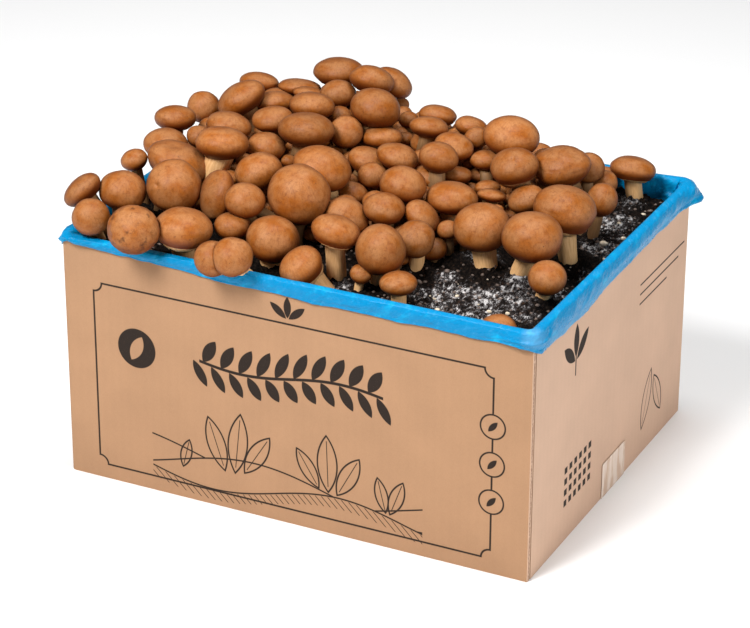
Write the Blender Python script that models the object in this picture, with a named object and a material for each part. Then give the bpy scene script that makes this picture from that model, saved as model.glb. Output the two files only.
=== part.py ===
"""Chestnut mushroom grow kit: an open corrugated box with a film bag folded over its
rim, a block of compost with peat on top, and a flush of brown-capped mushrooms.

Metres, +Z up. The origin is the middle of the box's footprint, on the surface it stands on.
The front is at -Y, and the glued corner of the box is at +X, -Y.
"""
import math

import bmesh
import bpy
import numpy as np
from mathutils import Vector

MM = 0.001

# Box
BOX_WIDTH = 380 * MM
BOX_DEPTH = 304 * MM
BOX_HEIGHT = 196 * MM
BOARD = 4 * MM
FLOOR = 2 * BOARD
FOLD_RADIUS = 4 * MM
CUT_EDGE_RADIUS = 1 * MM
GLUE_GAP = 1.2 * MM
GLUE_GAP_DEPTH = 2.5 * MM
FLAP_GAP = 1.5 * MM

# Packing tape over the flap joint and up both end walls
TAPE_WIDTH = 45 * MM
TAPE_SHIFT = 8 * MM
TAPE_RISE = 29 * MM
TAPE_THICKNESS = 0.3 * MM
TAPE_RECESS = 0.8 * MM

# Film bag
CLEARANCE = 0.4 * MM
FILM = 0.8 * MM
BAND_HEIGHT = 16 * MM
BAND_BULGE = 3 * MM
BAND_RISE = 2.2 * MM
FLARE = 7 * MM
FLARE_START = 1.6
POINTS_PER_SIDE, POINTS_PER_CORNER = 7, 4
CREASE_STEPS = (1.9, 3.1)
CREASE_AT_HEM, CREASE_IN_BAND, CREASE_AT_FOLD, CREASE_ON_RIM = 1.2 * MM, 1.0 * MM, 0.6 * MM, 0.3 * MM

# Peat surface, measured down from the rim of the box
PEAT_DEPTH = 17 * MM
PEAT_FALL = 3 * MM
PEAT_CELLS = (20, 16)
PEAT_SWELLS = ((1.4 * MM, 44 * MM, 37 * MM, 0.6), (0.9 * MM, 31 * MM))
CORNER_CUT, CORNER_START = 1.5 * MM, 1.9
FOOT_GAP = 0.6 * MM
ROOTED = 4 * MM

# Shape of a mushroom: the stem, as shares of the cap's radius, and the cap from its crown
# to its gills, as shares of its radius and of its half height
STEM_SHARE = 0.42
FOOT_SHARE = 0.38
GILL_DEPTH = 0.6
LEAN_AT_FOOT = 0.7
LARGE_SIDES = 8
LARGE_CAP = [(0.66, 0.76), (1.0, 0.05), (0.80, -0.66)]
SMALL_SIDES = 6
SMALL_CAP = [(0.72, 0.68), (0.96, -0.25)]

# Crowding of the flush
STEM_MARGIN = 15 * MM
CONTACT_GAP = 0.4 * MM
RIM_INSIDE = 6 * MM
RIM_OUTSIDE = 5 * MM
SPREAD_ROUNDS = 120
PRESS_ROUNDS = 5
PRESS_DIRECTIONS = 200
RIM_DIRECTIONS = 13

# Shares of an overlap, or of the way back, that a stem moves in one round
PUSH_BY_CAP = 0.5
PUSH_BY_STEM = 0.4
STRAIGHTEN = 0.12
BACK_TO_FOOT = 0.05
SEEN_FOOT_MOVES = 0.1

# Each row is one mushroom, in mm and degrees: the middle of its cap from the middle of the
# box (right, back) and above the rim, the cap's width, its height as a share of that width,
# how far it tips off upright, the side it tips to (0 front, 90 right), and where the stem
# can be followed to the peat, its foot (right, back).
LARGE = [
    (-189, -121, 24, 32, 0.60, 40, -75),
    (-164, -105, 22, 36, 0.80, 10, 90),
    (-180, -14, 24, 34, 0.65, 0, 0),
    (-187, 14, 34, 33, 0.60, 10, -165),
    (-149, 52, 44, 40, 0.60, 30, -75),
    (-149, -49, 27, 48, 0.60, 20, 120),
    (-128, -91, 27, 41, 0.90, 25, 30),
    (-137, 9, 38, 36, 0.60, 15, 165),
    (-119, -33, 42, 41, 0.60, 10, 180, -122, -22),
    (-95, -85, 24, 38, 0.60, 70, -45),
    (-77, -53, 34, 36, 0.80, 10, -60),
    (-122, -161, 20, 39, 0.90, 15, 30, -128, -130),
    (-96, -134, 16, 42, 0.65, 5, 120, -101, -126),
    (-40, -162, 16, 30, 0.90, 30, 30, -34, -131),
    (-35, -110, 10, 39, 0.85, 10, 75, -40, -108),
    (0, -133, 5, 33, 0.80, 35, -60, 11, -120),
    (15, -107, 25, 36, 0.60, 15, 120, 13, -101),
    (-1, -61, 16, 34, 0.80, 15, 105),
    (-33, -73, 32, 47, 0.90, 25, 30),
    (-36, -30, 36, 45, 0.70, 15, 105, -50, -16),
    (-73, 15, 44, 43, 0.60, 10, 180),
    (-39, 66, 50, 39, 0.75, 10, 120),
    (-103, 129, 48, 41, 0.55, 10, -150),
    (-64, 110, 54, 37, 0.55, 20, 165),
    (-56, 131, 46, 34, 0.60, 30, 120),
    (-161, 104, 38, 32, 0.50, 15, 180),
    (-127, 107, 38, 35, 0.40, 15, 180),
    (-131, 73, 36, 33, 0.55, 15, -150),
    (-90, 58, 46, 36, 0.60, 10, 180),
    (-109, 28, 42, 32, 0.60, 5, -90),
    (-100, 1, 30, 30, 0.70, 5, 120),
    (-24, 24, 24, 33, 0.60, 20, 120),
    (2, 20, 34, 32, 0.60, 15, 120),
    (-30, 59, 30, 32, 0.55, 10, -165),
    (-3, 102, 38, 30, 0.55, 15, 180),
    (6, 67, 42, 30, 0.55, 15, 180),
    (31, 58, 34, 31, 0.65, 10, 120),
    (34, 24, 38, 30, 0.75, 10, 120),
    (28, -23, 32, 35, 0.75, 10, 120),
    (26, -52, 24, 31, 0.70, 5, 120),
    (49, -36, 16, 29, 0.65, 35, 105),
    (57, -63, 10, 29, 0.90, 30, 30, 53, -58),
    (49, -104, 16, 39, 0.85, 10, 30, 42, -88),
    (61, -8, 22, 38, 0.60, 5, 150, 60, -6),
    (70, 78, 42, 43, 0.70, 5, 120),
    (90, 38, 36, 37, 0.70, 10, -60),
    (117, 65, 31, 42, 0.70, 10, -60),
    (105, 28, 16, 28, 0.70, 20, -60),
    (100, -41, 19, 42, 0.80, 10, 0, 105, -41),
    (141, -45, 21, 44, 0.80, 5, 75, 126, -41),
    (147, 1, 26, 46, 0.75, 10, 135, 152, 4),
    (165, -72, 5, 28, 0.85, 10, 30, 157, -69),
    (149, 132, 10, 35, 0.55, 15, 180, 152, 133),
]
SMALL = [
    (-168, -144, 15, 29, 0.90, 30, 30, -172, -122),
    (-88, 99, 42, 28, 0.75, 0, 0),
    (-184, 53, 30, 27, 0.90, 15, 0),
    (-65, -97, 30, 30, 0.85, 10, 30),
    (-70, -108, 13, 27, 0.70, 0, 0),
    (71, -120, 1, 27, 0.60, 0, 0, 71, -119),
    (-53, 43, 36, 26, 0.90, 30, 30),
    (0, 78, 25, 27, 0.65, 10, -60),
    (26, 101, 34, 26, 0.60, 15, 150),
    (128, 92, 22, 25, 0.90, 30, 30),
    (-17, -16, 14, 23, 0.75, 15, 120),
    (26, 26, 20, 25, 0.65, 15, 120),
    (-112, 94, 40, 24, 0.45, 15, 180),
    (56, 62, 26, 24, 0.60, 5, -150),
    (-11, 4, 22, 23, 0.85, 10, 30),
    (154, 56, 14, 23, 1.15, 15, 105),
    (-55, -164, 12, 27, 0.90, 30, 30, -56, -134),
    (43, 39, 20, 23, 0.55, 10, -165),
    (80, 21, 17, 22, 0.45, 15, 180),
    (-182, -58, 26, 21, 0.75, 15, -60),
    (-139, 97, 34, 25, 0.40, 15, -165),
    (138, 101, 8, 21, 0.90, 15, 30),
    (52, 65, 12, 20, 0.60, 5, -150),
    (66, 44, 12, 20, 0.55, 10, -150),
    (-162, 6, 26, 19, 0.85, 10, 30),
    (39, 82, 34, 18, 0.90, 25, 30),
    (87, 105, 18, 18, 0.75, 0, 0),
    (-28, 102, 30, 16, 0.80, 0, 0),
    (13, 103, 26, 16, 0.60, 10, -150),
    (39, -116, 0, 16, 0.85, 10, 75, 36, -116),
    (-21, 82, 22, 13, 0.85, 5, 30),
    (-178, 96, 16, 32, 0.70, 10, -90),
    (-176, 130, 12, 32, 0.70, 15, -120),
    (-143, 139, 13, 30, 0.70, 15, 180),
    (-82, 140, 20, 28, 0.70, 15, 180),
    (-26, 136, 14, 32, 0.70, 15, 180),
    (8, 138, 12, 31, 0.70, 10, 180),
    (40, 132, 14, 30, 0.70, 15, 150),
    (68, 136, 6, 26, 0.70, 15, 180),
    (96, 134, 0, 24, 0.70, 10, 180),
    (-66, -12, 10, 26, 0.70, 10, 0),
    (-128, -60, 6, 24, 0.70, 10, 0),
    (-140, 38, 10, 26, 0.70, 10, 90),
    (80, 104, 2, 20, 0.70, 10, 0),
]


def clear_scene():
    for item in list(bpy.data.objects):
        bpy.data.objects.remove(item, do_unlink=True)


def principled(name, colour, roughness, metallic=0.0):
    material = bpy.data.materials.new(name)
    material.use_nodes = True
    shader = material.node_tree.nodes["Principled BSDF"]
    shader.inputs["Base Color"].default_value = (*colour, 1.0)
    shader.inputs["Roughness"].default_value = roughness
    shader.inputs["Metallic"].default_value = metallic
    return material


def mesh_object(name, bm, material):
    """Put a bmesh into a named object and free it."""
    bmesh.ops.recalc_face_normals(bm, faces=bm.faces)
    mesh = bpy.data.meshes.new(name)
    bm.to_mesh(mesh)
    bm.free()
    mesh.materials.append(material)
    item = bpy.data.objects.new(name, mesh)
    bpy.context.collection.objects.link(item)
    return item


def block_object(name, low, high, material):
    """A plain rectangular block between two corners."""
    bm = bmesh.new()
    bmesh.ops.create_cube(bm, size=1.0)
    size = Vector(high) - Vector(low)
    middle = (Vector(high) + Vector(low)) / 2
    for vert in bm.verts:
        vert.co = Vector(vert.co[i] * size[i] + middle[i] for i in range(3))
    return mesh_object(name, bm, material)


def combine(item, tool, operation):
    """Boolean of two objects, with the tool kept as a hidden guide."""
    modifier = item.modifiers.new(tool.name, "BOOLEAN")
    modifier.operation = operation
    modifier.object = tool
    modifier.solver = "EXACT"
    tool.hide_render = True
    tool.display_type = "WIRE"


# Box

def make_carton(material):
    """One folded blank: four walls and a double floor, with the raw edge of the front
    panel and the gap beside it at the glued corner."""
    bm = bmesh.new()
    bmesh.ops.create_cube(bm, size=1.0)
    for vert in bm.verts:
        vert.co = Vector((vert.co.x * BOX_WIDTH, vert.co.y * BOX_DEPTH,
                          (vert.co.z + 0.5) * BOX_HEIGHT))
    upright = [edge for edge in bm.edges
               if abs(edge.verts[0].co.z - edge.verts[1].co.z) > BOX_HEIGHT / 2]
    glued = [edge for edge in upright if edge.verts[0].co.x > 0 > edge.verts[0].co.y]
    folds = [edge for edge in upright if edge not in glued]
    for edges, radius in ((glued, CUT_EDGE_RADIUS), (folds, FOLD_RADIUS)):
        bmesh.ops.bevel(bm, geom=edges, offset=radius, offset_type="OFFSET", segments=3,
                        profile=0.5, affect="EDGES")
    carton = mesh_object("carton", bm, material)

    half_x, half_y = BOX_WIDTH / 2, BOX_DEPTH / 2
    past = 10 * MM
    hollow = block_object("cut_hollow", (-half_x + BOARD, -half_y + BOARD, FLOOR),
                          (half_x - BOARD, half_y - BOARD, BOX_HEIGHT + past), material)
    glue_gap = block_object(
        "cut_glue_gap", (half_x - GLUE_GAP_DEPTH, -half_y + BOARD, -past),
        (half_x + past, -half_y + BOARD + GLUE_GAP, BOX_HEIGHT + past), material)
    flap_gap = block_object("cut_flap_gap", (-half_x - past, -FLAP_GAP / 2, -past),
                            (half_x + past, FLAP_GAP / 2, BOARD), material)
    recess = block_object(
        "cut_tape_recess", (-half_x - past, TAPE_SHIFT - TAPE_WIDTH / 2 - CLEARANCE, -past),
        (half_x + past, TAPE_SHIFT + TAPE_WIDTH / 2 + CLEARANCE, TAPE_RECESS), material)
    for tool in (hollow, glue_gap, flap_gap, recess):
        combine(carton, tool, "DIFFERENCE")


def make_tape(material):
    """One strip: up the left wall, under the floor, up the right wall."""
    half_x = BOX_WIDTH / 2
    inner = half_x + CLEARANCE
    outer = inner + TAPE_THICKNESS
    outline = [(-outer, TAPE_RISE), (-outer, 0), (outer, 0), (outer, TAPE_RISE),
               (inner, TAPE_RISE), (inner, TAPE_THICKNESS),
               (-inner, TAPE_THICKNESS), (-inner, TAPE_RISE)]
    bm = bmesh.new()
    start = TAPE_SHIFT - TAPE_WIDTH / 2
    face = bm.faces.new([bm.verts.new((x, start, z)) for x, z in outline])
    side = bmesh.ops.extrude_face_region(bm, geom=[face])
    moved = [g for g in side["geom"] if isinstance(g, bmesh.types.BMVert)]
    bmesh.ops.translate(bm, verts=moved, vec=(0, TAPE_WIDTH, 0))
    mesh_object("tape_strip", bm, material)


# Film bag

def wall_ring(inset, height, wave=0.0):
    """Points round the box at one level: a rectangle with round corners, set in from the
    wall's outer face by inset (negative stands proud), each with its share of the creases."""
    radius = max(CUT_EDGE_RADIUS - inset, CUT_EDGE_RADIUS)
    half_x, half_y = BOX_WIDTH / 2 - inset, BOX_DEPTH / 2 - inset
    points = []
    for side in range(4):
        turn = side * math.pi / 2
        along, out = (half_x, half_y) if side % 2 == 0 else (half_y, half_x)
        straight = np.linspace(-(along - radius), along - radius, POINTS_PER_SIDE)
        local = [(s, -out) for s in straight]
        for k in range(1, POINTS_PER_CORNER):
            angle = -math.pi / 2 + k / POINTS_PER_CORNER * math.pi / 2
            local.append((along - radius + radius * math.cos(angle),
                          -out + radius + radius * math.sin(angle)))
        for px, py in local:
            x = px * math.cos(turn) - py * math.sin(turn)
            y = px * math.sin(turn) + py * math.cos(turn)
            points.append(Vector((x, y, height)))
    if wave:
        for k, point in enumerate(points):
            crease = (math.sin(k * CREASE_STEPS[0]) + math.sin(k * CREASE_STEPS[1] + 1)) / 2
            outward = Vector((point.x / half_x, point.y / half_y, 0)).normalized()
            corner = abs(point.x) / half_x + abs(point.y) / half_y - FLARE_START
            corner = max(0.0, corner) / (2 - FLARE_START)
            flare = FLARE * corner if point.x > 0 and point.y > 0 else 0.0
            point += outward * (flare + max(crease, 0.0) * wave)
            point.z += crease * wave
    return points


def make_liner(material):
    """The bag: over the floor, up the inside of the walls and folded down outside."""
    board_inset = BOARD + CLEARANCE
    rings = [
        wall_ring(board_inset, FLOOR + CLEARANCE),
        wall_ring(board_inset, BOX_HEIGHT + CLEARANCE),
        wall_ring(-CLEARANCE, BOX_HEIGHT + CLEARANCE),
        wall_ring(-CLEARANCE, BOX_HEIGHT - BAND_HEIGHT),
        wall_ring(-CLEARANCE - FILM, BOX_HEIGHT - BAND_HEIGHT, CREASE_AT_HEM),
        wall_ring(-BAND_BULGE, BOX_HEIGHT - BAND_HEIGHT / 2, CREASE_IN_BAND),
        wall_ring(-BAND_BULGE, BOX_HEIGHT + CLEARANCE, CREASE_AT_FOLD),
        wall_ring(BOARD / 4, BOX_HEIGHT + BAND_RISE, CREASE_ON_RIM),
        wall_ring(board_inset + FILM, BOX_HEIGHT + CLEARANCE + FILM),
        wall_ring(board_inset + FILM, FLOOR + CLEARANCE + FILM),
    ]
    bm = bmesh.new()
    loops = [[bm.verts.new(point) for point in ring] for ring in rings]
    count = len(loops[0])
    for lower, upper in zip(loops, loops[1:]):
        for k in range(count):
            n = (k + 1) % count
            bm.faces.new((lower[k], lower[n], upper[n], upper[k]))
    bm.faces.new(loops[0])
    bm.faces.new(loops[-1])
    mesh_object("liner", bm, material)


# Mushrooms

def peat_height(x, y):
    """Level of the peat: gentle swells, falling a little towards the right."""
    (broad, along, across, start), (slanted, step) = PEAT_SWELLS
    swell = broad * np.sin(x / along + start) * np.cos(y / across)
    swell += slanted * np.sin((x + y) / step)
    return BOX_HEIGHT - PEAT_DEPTH - PEAT_FALL * x / (BOX_WIDTH / 2) + swell


class Mushroom:
    """A cap on a stem. The stem rises upright from its foot and ends square to the cap."""

    def __init__(self, row, sides, cap_profile):
        right, back, above, across, plump, tip, side = row[:7]
        self.sides = sides
        self.cap_profile = cap_profile
        self.centre = np.array([right * MM, back * MM, BOX_HEIGHT + above * MM])
        self.radius = across * MM / 2
        self.half_height = self.radius * plump
        self.stem_radius = STEM_SHARE * self.radius
        tip, side = math.radians(tip), math.radians(side)
        self.axis = np.array([math.sin(tip) * math.sin(side), -math.sin(tip) * math.cos(side),
                              math.cos(tip)])
        self.top = self.centre - self.axis * self.half_height * GILL_DEPTH
        self.foot_is_seen = len(row) > 7
        if self.foot_is_seen:
            self.foot = np.array(row[7:]) * MM
        else:
            rise = self.top[2] - peat_height(*self.top[:2])
            self.foot = self.top[:2] - LEAN_AT_FOOT * rise * self.axis[:2] / self.axis[2]
        self.middle = (self.top[:2] + self.foot) / 2

    def shape(self):
        """Points in rings from the crown of the cap down to the sole, and the three convex
        parts that they make: cap, upper stem and lower stem."""
        turn = np.arange(self.sides) * 2 * math.pi / self.sides
        level = np.stack([np.cos(turn), np.sin(turn), 0 * turn], axis=1)
        tilt = Vector((0, 0, 1)).rotation_difference(Vector(self.axis)).to_matrix()
        tipped = level @ np.array(tilt).T
        foot = np.array([*self.foot, peat_height(*self.foot)])
        middle = np.array([*self.middle, (foot[2] + self.top[2]) / 2])
        rings = [self.centre + self.radius * share * tipped + self.half_height * rise * self.axis
                 for share, rise in self.cap_profile]
        rings += [self.top + self.stem_radius * tipped,
                  middle + self.stem_radius * (level + tipped) / 2,
                  foot + FOOT_SHARE * self.radius * level]
        crown = self.centre + self.half_height * self.axis
        self.points = np.concatenate([[crown], *rings, [foot]])
        numbers = np.arange(len(self.points))
        gills = 1 + len(self.cap_profile) * self.sides
        waist = gills + self.sides
        self.parts = [numbers[:waist], numbers[gills:waist + self.sides], numbers[waist:]]

    def stand(self, gap):
        """Set the sole on the peat, or into it where the gap is negative."""
        sole = self.points[-self.sides - 1:]
        sole[:, 2] = peat_height(sole[:, 0], sole[:, 1]) + gap

    def add_to(self, bm):
        verts = [bm.verts.new(point) for point in self.points]
        rings = [verts[k:k + self.sides] for k in range(1, len(verts) - 1, self.sides)]
        for k in range(self.sides):
            after = (k + 1) % self.sides
            bm.faces.new((verts[0], rings[0][k], rings[0][after]))
            for upper, lower in zip(rings, rings[1:]):
                bm.faces.new((upper[k], lower[k], lower[after], upper[after]))
            bm.faces.new((verts[-1], rings[-1][after], rings[-1][k]))


def spread_stems(flush):
    """Stems find room between each other and under the caps: points along each stem are
    pushed sideways off the stems and caps they run into, and the stem stays smooth."""
    caps = np.array([m.centre for m in flush])
    axes = np.array([m.axis for m in flush])
    cap_radii = np.array([m.radius for m in flush])
    half_heights = np.array([m.half_height for m in flush])
    stems = np.array([m.stem_radius for m in flush])
    tops = np.array([m.top for m in flush])
    feet = np.array([m.foot for m in flush])
    middles = np.array([m.middle for m in flush])
    first_feet = feet.copy()
    looseness = np.array([SEEN_FOOT_MOVES if m.foot_is_seen else 1.0 for m in flush])[:, None]
    shares = np.array([0.0, 0.25, 0.5, 0.75])[:, None]
    others = 1.0 - np.eye(len(flush))
    room = np.array([BOX_WIDTH, BOX_DEPTH]) / 2 - STEM_MARGIN
    for _ in range(SPREAD_ROUNDS):
        ground = peat_height(feet[:, 0], feet[:, 1])
        level = ground + shares * (tops[:, 2] - ground)
        lower = np.clip(1 - 2 * shares, 0, 1)[..., None]
        upper = np.clip(2 * shares - 1, 0, 1)[..., None]
        line = lower * feet + (1 - lower - upper) * middles + upper * tops[:, :2]
        spots = np.concatenate([line, level[..., None]], axis=2)[:, :, None, :]
        off_cap = spots - caps
        along = (off_cap * axes).sum(axis=3)
        across = np.sqrt(np.clip((off_cap ** 2).sum(axis=3) - along ** 2, 0, None))
        reach = np.hypot(across / (cap_radii + stems[:, None]),
                         along / (half_heights + stems[:, None]))
        cap_push = PUSH_BY_CAP * cap_radii * np.clip(1 - reach, 0, 1) * others
        off_stem = spots - spots.transpose(0, 2, 1, 3)
        apart = np.linalg.norm(off_stem[..., :2], axis=3)
        overlap = np.clip(stems[:, None] + stems - apart, 0, None)
        stem_push = PUSH_BY_STEM * overlap * others
        push = np.zeros_like(line)
        for amount, offset in ((cap_push, off_cap[..., :2]), (stem_push, off_stem[..., :2])):
            length = np.linalg.norm(offset, axis=3) + 1e-6
            push += ((amount / length)[..., None] * offset).sum(axis=2)
        middles += push[2] + (push[1] + push[3]) / 2
        middles += STRAIGHTEN * ((feet + tops[:, :2]) / 2 - middles)
        feet += looseness * (push[0] + push[1] / 2) + BACK_TO_FOOT * (first_feet - feet)
        feet = np.clip(feet, -room, room)
    for mushroom, foot, middle in zip(flush, feet, middles):
        mushroom.foot = foot
        mushroom.middle = middle


def spiral_directions(count):
    """Directions spread evenly over a sphere, on a spiral, and their opposites."""
    step = np.arange(count) + 0.5
    height = 1 - step / count
    turn = math.pi * (1 + math.sqrt(5)) * step
    across = np.sqrt(1 - height ** 2)
    half = np.stack([across * np.cos(turn), across * np.sin(turn), height], axis=1)
    return np.concatenate([half, -half])


def press(points, part, normal, limit):
    """Flatten the part of a mushroom that passes a plane back onto it."""
    past = np.clip(points[part] @ normal - limit, 0, None)
    points[part] -= past[:, None] * normal


def press_off_rim(points, part):
    """Flatten a part that leans on the folded rim of one of the four walls: over it, or
    back from its inner or outer side, whichever takes least."""
    turn = np.linspace(0, math.pi, RIM_DIRECTIONS)
    for outward in ((0, -1), (1, 0), (0, 1), (-1, 0)):
        wall = BOX_WIDTH / 2 if outward[0] else BOX_DEPTH / 2
        directions = np.stack([np.cos(turn) * outward[0], np.cos(turn) * outward[1],
                               np.sin(turn)], axis=1)
        edge = np.where(turn < math.pi / 2, wall + RIM_OUTSIDE, wall - RIM_INSIDE)
        limit = np.cos(turn) * edge + np.sin(turn) * (BOX_HEIGHT + BAND_RISE) + CONTACT_GAP
        overlap = limit - (points[part] @ directions.T).min(axis=0)
        least = overlap.argmin()
        if overlap[least] > 0:
            press(points, part, -directions[least], -limit[least])


def press_apart(flush):
    """Flatten the mushrooms where they crowd each other or lean on the rim. Two parts that
    overlap meet at a plane halfway, square to the direction in which they overlap least."""
    directions = spiral_directions(PRESS_DIRECTIONS)
    parts = [(m.points, part) for m in flush for part in m.parts]
    for _ in range(PRESS_ROUNDS):
        middles = np.array([points[part].mean(axis=0) for points, part in parts])
        sizes = np.array([np.linalg.norm(points[part] - middle, axis=1).max()
                          for (points, part), middle in zip(parts, middles)])
        for i, (points, part) in enumerate(parts):
            press_off_rim(points, part)
            distance = np.linalg.norm(middles[i + 1:] - middles[i], axis=1)
            for j in i + 1 + np.nonzero(distance < sizes[i + 1:] + sizes[i])[0]:
                other_points, other = parts[j]
                if other_points is points:
                    continue
                near_side = (points[part] @ directions.T).max(axis=0)
                far_side = (other_points[other] @ directions.T).min(axis=0)
                overlap = near_side - far_side + CONTACT_GAP
                least = overlap.argmin()
                if overlap[least] > 0:
                    plane = (near_side[least] + far_side[least]) / 2
                    normal = directions[least]
                    press(points, part, normal, plane - CONTACT_GAP / 2)
                    press(other_points, other, -normal, -plane - CONTACT_GAP / 2)


def make_mushrooms(material):
    """The flush. The large mushrooms are objects of their own, and the small ones are
    returned for the block that they grow from."""
    large = [Mushroom(row, LARGE_SIDES, LARGE_CAP) for row in LARGE]
    small = [Mushroom(row, SMALL_SIDES, SMALL_CAP) for row in SMALL]
    spread_stems(large + small)
    for mushroom in large + small:
        mushroom.shape()
    press_apart(large + small)
    for number, mushroom in enumerate(large, start=1):
        mushroom.stand(FOOT_GAP)
        bm = bmesh.new()
        mushroom.add_to(bm)
        mesh_object("mushroom_%02d" % number, bm, material)
    return small


def make_block(small, peat, skin):
    """Compost and peat in one block that fills the bag, with the small mushrooms that
    grow from it."""
    inset = BOARD + 2 * CLEARANCE + FILM
    half = Vector((BOX_WIDTH / 2 - inset, BOX_DEPTH / 2 - inset))
    bm = bmesh.new()
    bmesh.ops.create_grid(bm, x_segments=PEAT_CELLS[0], y_segments=PEAT_CELLS[1], size=1.0)
    for vert in bm.verts:
        corner = max(0.0, abs(vert.co.x) + abs(vert.co.y) - CORNER_START) / (2 - CORNER_START)
        vert.co.x *= half.x - corner * CORNER_CUT
        vert.co.y *= half.y - corner * CORNER_CUT
        vert.co.z = peat_height(vert.co.x, vert.co.y)
    border = [edge for edge in bm.edges if edge.is_boundary]
    sides = bmesh.ops.extrude_edge_only(bm, edges=border)
    for item in sides["geom"]:
        if isinstance(item, bmesh.types.BMVert):
            item.co.z = FLOOR + 2 * CLEARANCE + FILM
    border = [edge for edge in bm.edges if edge.is_boundary]
    bmesh.ops.contextual_create(bm, geom=border)
    block = mesh_object("compost_block", bm, peat)

    bm = bmesh.new()
    for mushroom in small:
        mushroom.stand(-ROOTED)
        mushroom.add_to(bm)
    combine(block, mesh_object("small_mushrooms", bm, skin), "UNION")


def main():
    clear_scene()
    make_carton(principled("kraft_board", (0.56, 0.35, 0.20), 0.85))
    make_tape(principled("clear_tape", (0.80, 0.72, 0.66), 0.35))
    make_liner(principled("blue_film", (0.01, 0.36, 0.75), 0.30))
    skin = principled("chestnut_skin", (0.48, 0.19, 0.05), 0.45)
    small = make_mushrooms(skin)
    make_block(small, principled("peat", (0.035, 0.022, 0.016), 0.95), skin)


main()
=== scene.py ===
import math

import bpy
import numpy as np
from mathutils import Matrix, Vector


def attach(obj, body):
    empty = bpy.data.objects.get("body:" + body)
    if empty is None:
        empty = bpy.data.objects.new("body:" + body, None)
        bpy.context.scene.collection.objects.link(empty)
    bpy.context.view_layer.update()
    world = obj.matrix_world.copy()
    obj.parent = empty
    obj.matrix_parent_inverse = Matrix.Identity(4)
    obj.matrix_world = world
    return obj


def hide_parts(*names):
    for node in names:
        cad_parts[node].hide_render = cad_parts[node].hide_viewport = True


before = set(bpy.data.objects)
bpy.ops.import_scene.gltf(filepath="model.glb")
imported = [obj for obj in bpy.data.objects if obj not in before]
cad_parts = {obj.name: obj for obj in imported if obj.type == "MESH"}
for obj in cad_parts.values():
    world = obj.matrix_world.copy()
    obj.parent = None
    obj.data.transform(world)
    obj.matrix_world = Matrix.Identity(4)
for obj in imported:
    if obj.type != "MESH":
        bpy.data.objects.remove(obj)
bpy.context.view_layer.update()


# Carton. One folded blank of brown corrugated board: matt, slightly fibrous paper with the
# flutes just showing through, dark printed line work on the front and right walls, and the
# raw edge of the front panel at the glued corner, with painted shade in its open flutes.

MM = 0.001
BOX_WIDTH, BOX_DEPTH, BOX_HEIGHT = 380 * MM, 304 * MM, 196 * MM
BOARD = 4 * MM
FLOOR = 2 * BOARD


class Net:
    """Builds a node tree: each call adds a node and returns the output asked for."""

    def __init__(self, tree):
        self.tree = tree

    def put(self, socket, value):
        if isinstance(value, bpy.types.NodeSocket):
            self.tree.links.new(value, socket)
        elif hasattr(socket.default_value, "__len__") and len(value) < len(socket.default_value):
            socket.default_value = (*value, 1.0)
        else:
            socket.default_value = value

    def add(self, kind, inputs=(), output=0, **settings):
        node = self.tree.nodes.new(kind)
        for key, value in settings.items():
            setattr(node, key, value)
        for key, value in (inputs.items() if isinstance(inputs, dict) else enumerate(inputs)):
            self.put(node.inputs[key], value)
        return node.outputs[output]

    def math(self, operation, *values, clamp=False):
        return self.add("ShaderNodeMath", values, operation=operation, use_clamp=clamp)

    def vector(self, operation, *values, output=0):
        return self.add("ShaderNodeVectorMath", values, output, operation=operation)

    def scale(self, vector, factors):
        return self.vector("MULTIPLY", vector, factors)

    def split(self, vector):
        node = self.tree.nodes.new("ShaderNodeSeparateXYZ")
        self.put(node.inputs[0], vector)
        return node.outputs

    def join(self, x, y, z=0.0):
        return self.add("ShaderNodeCombineXYZ", (x, y, z))

    def ramp(self, value, low, high, start=0.0, end=1.0):
        """Smooth step of value from start at low to end at high."""
        inputs = {0: value, 1: low, 2: high, 3: start, 4: end}
        return self.add("ShaderNodeMapRange", inputs, interpolation_type="SMOOTHSTEP")

    def noise(self, vector, scale, detail=2.0, roughness=0.5, output=0):
        inputs = {"Vector": vector, "Scale": scale, "Detail": detail, "Roughness": roughness}
        return self.add("ShaderNodeTexNoise", inputs, output)

    def cells(self, vector, scale, output="Distance", feature="F1", randomness=1.0):
        inputs = {"Vector": vector, "Scale": scale, "Randomness": randomness}
        return self.add("ShaderNodeTexVoronoi", inputs, output, feature=feature)

    def mix(self, share, first, second, blend="MIX"):
        return self.add("ShaderNodeMix", {0: share, 6: first, 7: second}, 2,
                        data_type="RGBA", blend_type=blend)

    def bump(self, height, distance, strength=1.0, normal=None):
        inputs = {"Height": height, "Distance": distance, "Strength": strength}
        if normal is not None:
            inputs["Normal"] = normal
        return self.add("ShaderNodeBump", inputs)

    def attribute(self, name, output="Fac"):
        return self.add("ShaderNodeAttribute", output=output, attribute_name=name)

    def place(self):
        """Object coordinates in millimetres."""
        return self.scale(self.add("ShaderNodeTexCoord", output="Object"), (1000, 1000, 1000))


def group(name, inputs, outputs, fill):
    """A node group. inputs and outputs map names to socket types, and fill(net, inputs)
    returns the outputs' values in order."""
    tree = bpy.data.node_groups.new(name, "ShaderNodeTree")
    for socket, kind in inputs.items():
        tree.interface.new_socket(socket, in_out="INPUT", socket_type="NodeSocket" + kind)
    for socket, kind in outputs.items():
        tree.interface.new_socket(socket, in_out="OUTPUT", socket_type="NodeSocket" + kind)
    net = Net(tree)
    source = tree.nodes.new("NodeGroupInput")
    values = fill(net, source.outputs)
    sink = tree.nodes.new("NodeGroupOutput")
    for socket, value in zip(sink.inputs, values):
        net.put(socket, value)
    return tree


def material(name, fill):
    """A material with one Principled shader. fill(net) returns the shader's inputs."""
    made = bpy.data.materials.new(name)
    made.use_nodes = True
    net = Net(made.node_tree)
    shader = made.node_tree.nodes["Principled BSDF"]
    for socket, value in fill(net).items():
        net.put(shader.inputs[socket], value)
    return made


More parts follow.
